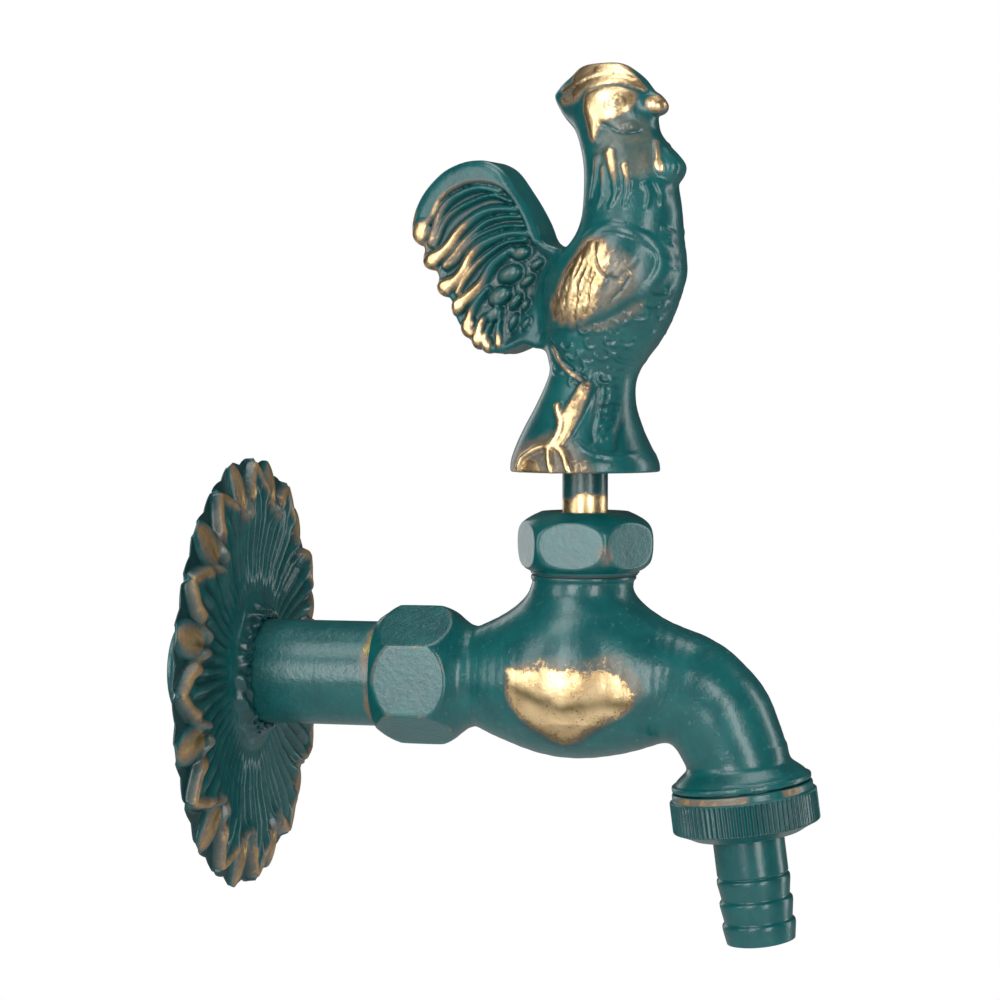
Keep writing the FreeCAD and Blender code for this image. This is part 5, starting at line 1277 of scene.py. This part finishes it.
def build_tail():
    profile = [(7.4, 5.2, 0), (7.4, 12.6, 0.3), (8.9, 12.6, 0.3), (8.9, 7.25, 0.3),
               (18.3, 7.25, 0.3)]
    for barb in range(3):
        foot = 18.55 + barb * 4.6
        profile += [(foot, 6.95, 0.2), (foot + 0.5, 7.45, 0.3), (foot + 1.3, 7.45, 0.3),
                    (foot + 4.4, 6.95, 0.2)]
    profile += [(32.0, 6.6, 0.3), (32.35, 6.2, 0.3), (32.35, 5.2, 0.2)]
    make_turned("hose_tail_barbed", fine(rounded(profile), 0.5), ROUND_SIDES, OUTLET,
                ALONG_OUTLET, flip=True)


# Material slot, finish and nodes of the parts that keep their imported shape
HIDDEN = (
    ("fibre_washer", "fibre_dark", ["bonnet_washer"]),
    ("seal_rubber", "seal_black",
     ["spindle_oring_upper", "spindle_oring_lower", "tap_washer", "hose_washer"]),
    ("inner_brass", "bare_brass", ["jumper_valve", "washer_nut"]),
    ("screw_steel", "screw_metal", ["handle_set_screw"]),
)


def dress_hidden():
    for slot, material, nodes in HIDDEN:
        for node in nodes:
            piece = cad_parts[node]
            piece.data.materials.clear()
            piece.data.materials.append(finish(material))


# ---------------------------------------------------------------- stage

# Paint: bare metal under it, speckle, bump and shine of the bare metal
PAINTS = {
    "cockerel_paint": (BRASS, 0.3, 1.2, 1.0), "body_paint": (BRASS, 1.0, 1.1, 1.0),
    "bonnet_paint": (DULL_COPPER, 0.4, 0.9, 0.6), "stem_paint": (BRASS, 0.3, 1.0, 1.0),
    "pipe_paint": (OLIVE, 0.6, 1.6, 0.5), "rosette_paint": (BRONZE, 0.2, 1.4, 0.55),
    "union_paint": (BRONZE, 0.3, 1.2, 0.4), "tail_paint": (BRASS, 0.3, 0.8, 1.0),
}
# Plain finish: colour, roughness and how metallic it is
PLAIN = {
    "fibre_dark": ((0.03, 0.03, 0.028), 0.8, 0.0), "seal_black": ((0.02, 0.02, 0.02), 0.6, 0.0),
    "bare_brass": ((0.72, 0.5, 0.24), 0.35, 1.0), "screw_metal": ((0.5, 0.5, 0.5), 0.35, 1.0),
}


def build_finishes():
    settings = bpy.context.scene.tap_settings
    coat = group_worn_coat(group_cast_grain())
    for name, (bare, speckle, bump, shine) in PAINTS.items():
        painted_material(name, coat, bare, settings.wear, speckle, settings.relief * bump, shine)
    for name, values in PLAIN.items():
        plain_material(name, *values)


CAMERA_PLACE = (0.15744, -0.45301, 0.05567)
CAMERA_WAY = (-0.21796, 0.97509, -0.04119)
CAMERA_LENS = 81.2
FLOOR_HALF = 6
LAMPS_AIM = (0.07, 0, 0.03)
# Area lamp: place, size and power
LAMPS = {
    "front_box": ((-0.12, -0.85, 0.14), (0.3, 0.6), 4.8),
    "side_box": ((0.58, -0.66, 0.12), (0.2, 0.7), 4.0),
    "rim_box": ((0.8, 0.3, 0.12), (0.16, 0.8), 2.2),
    "left_box": ((-0.56, -0.57, 0.2), (0.26, 0.6), 2.2),
    "upper_box": ((-0.16, -0.48, 0.7), (0.36, 0.5), 3.0),
    "back_box": ((-0.46, 0.6, 0.15), (0.2, 0.7), 0.8),
    "top_box": ((0.1, 0.1, 0.85), (0.5, 0.5), 3.2),
}


def add_holder(name, data, place, way):
    """Camera or lamp at a place, looking one way."""
    holder = bpy.data.objects.new(name, data)
    holder.location = place
    holder.rotation_euler = Vector(way).to_track_quat("-Z", "Y").to_euler()
    bpy.context.scene.collection.objects.link(holder)
    return holder


def build_lamps():
    for name, (place, size, power) in LAMPS.items():
        lamp = bpy.data.lights.new(name, "AREA")
        lamp.shape = "RECTANGLE"
        lamp.size, lamp.size_y = size
        lamp.energy = power
        add_holder(name, lamp, place, Vector(LAMPS_AIM) - Vector(place))


def build_floor(drop):
    """Pale floor that the camera sees as white and reflections see as dim."""
    low, high = -FLOOR_HALF, FLOOR_HALF
    mesh = bpy.data.meshes.new("floor")
    mesh.from_pydata([(low, low, -drop), (high, low, -drop), (high, high, -drop),
                      (low, high, -drop)], [], [(0, 1, 2, 3)])
    floor = bpy.data.objects.new("floor", mesh)
    bpy.context.scene.collection.objects.link(floor)
    material, graph, shader = new_material("pale_floor")
    tone = graph.colour(graph.noise(graph.place(), 4.0), (0.86, 0.86, 0.86, 1),
                        (0.9, 0.9, 0.9, 1))
    path = graph.add("LightPath").outputs
    dim = graph.times(path["Is Glossy Ray"], 0.55)
    graph.feed(shader, {"Roughness": 0.9,
                        "Base Color": graph.colour(dim, tone, (0.1, 0.1, 0.1, 1))})
    white = graph.add("Emission", {"Color": (1, 1, 1, 1), "Strength": 1.0})
    mixed = graph.add("MixShader", {0: path["Is Camera Ray"], 1: shader.outputs["BSDF"],
                                    2: white.outputs["Emission"]})
    graph.feed(material.node_tree.nodes["Material Output"], {"Surface": mixed.outputs["Shader"]})
    mesh.materials.append(material)


def build_stage():
    scene = bpy.context.scene
    camera = bpy.data.cameras.new("photo_camera")
    camera.lens = CAMERA_LENS
    camera.sensor_width = 36
    camera.clip_start = 0.01
    scene.camera = add_holder("photo_camera", camera, CAMERA_PLACE, CAMERA_WAY)
    build_floor(scene.tap_settings.floor_drop)

    scene.world = bpy.data.worlds.new("studio")
    scene.world.use_nodes = True
    graph = Graph(scene.world.node_tree)
    path = graph.add("LightPath").outputs
    around = graph.value(path["Is Glossy Ray"], 0.27, 0.06)
    graph.feed(graph.tree.nodes["Background"],
               {"Color": (1, 1, 1, 1),
                "Strength": graph.value(path["Is Camera Ray"], around, 1.0)})
    scene.view_settings.view_transform = "Standard"
    build_lamps()


# ---------------------------------------------------------------- add-on

class TapStep:
    """What the operators share: each runs its steps in order."""

    def execute(self, context):
        for step in self.steps:
            step()
        return {"FINISHED"}


class TAP_OT_finishes(TapStep, bpy.types.Operator):
    """Makes the worn paint, brass, rubber and steel finishes"""
    bl_idname = "tap.make_finishes"
    bl_label = "Make Finishes"
    steps = (build_finishes,)


class TAP_OT_cockerel(TapStep, bpy.types.Operator):
    """Builds the cockerel handle's casting"""
    bl_idname = "tap.build_cockerel"
    bl_label = "Build Cockerel"
    steps = (build_cockerel,)


class TAP_OT_body(TapStep, bpy.types.Operator):
    """Builds the tap's body, inlet hexagon and outlet thread"""
    bl_idname = "tap.build_body"
    bl_label = "Build Body"
    steps = (build_body,)


class TAP_OT_bonnet(TapStep, bpy.types.Operator):
    """Builds the bonnet and the spindle's stem"""
    bl_idname = "tap.build_bonnet"
    bl_label = "Build Bonnet and Spindle"
    steps = (build_bonnet, build_spindle)


class TAP_OT_inlet(TapStep, bpy.types.Operator):
    """Builds the inlet pipe and the wall rosette"""
    bl_idname = "tap.build_inlet"
    bl_label = "Build Pipe and Rosette"
    steps = (build_pipe, build_rosette)


class TAP_OT_outlet(TapStep, bpy.types.Operator):
    """Builds the union nut and the hose tail"""
    bl_idname = "tap.build_outlet"
    bl_label = "Build Union and Hose Tail"
    steps = (build_union, build_tail)


class TAP_OT_hidden(TapStep, bpy.types.Operator):
    """Gives finishes to the washers, seals, valve and screw"""
    bl_idname = "tap.dress_hidden"
    bl_label = "Dress Inner Parts"
    steps = (dress_hidden,)


class TAP_OT_stage(TapStep, bpy.types.Operator):
    """Sets the camera, floor, world and lamps"""
    bl_idname = "tap.set_stage"
    bl_label = "Set Stage"
    steps = (build_stage,)


STEPS = (TAP_OT_finishes, TAP_OT_cockerel, TAP_OT_body, TAP_OT_bonnet, TAP_OT_inlet,
         TAP_OT_outlet, TAP_OT_hidden, TAP_OT_stage)


class TAP_PT_panel(bpy.types.Panel):
    """Settings and steps of the garden tap"""
    bl_idname = "TAP_PT_panel"
    bl_label = "Garden Tap"
    bl_space_type = "VIEW_3D"
    bl_region_type = "UI"
    bl_category = "Garden Tap"

    def draw(self, context):
        settings = context.scene.tap_settings
        column = self.layout.column()
        for name in ("voxel", "wear", "relief", "floor_drop"):
            column.prop(settings, name)
        for step in STEPS:
            column.operator(step.bl_idname)


CLASSES = (TapSettings,) + STEPS + (TAP_PT_panel,)


def register():
    for kind in CLASSES:
        bpy.utils.register_class(kind)
    bpy.types.Scene.tap_settings = bpy.props.PointerProperty(type=TapSettings)


def unregister():
    del bpy.types.Scene.tap_settings
    for kind in reversed(CLASSES):
        bpy.utils.unregister_class(kind)


def main():
    register()
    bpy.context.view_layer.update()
    for step in STEPS:
        group, name = step.bl_idname.split(".")
        result = getattr(getattr(bpy.ops, group), name)()
        if "FINISHED" not in result:
            raise RuntimeError("%s stopped" % step.bl_label)


if __name__ == "__main__":
    main()
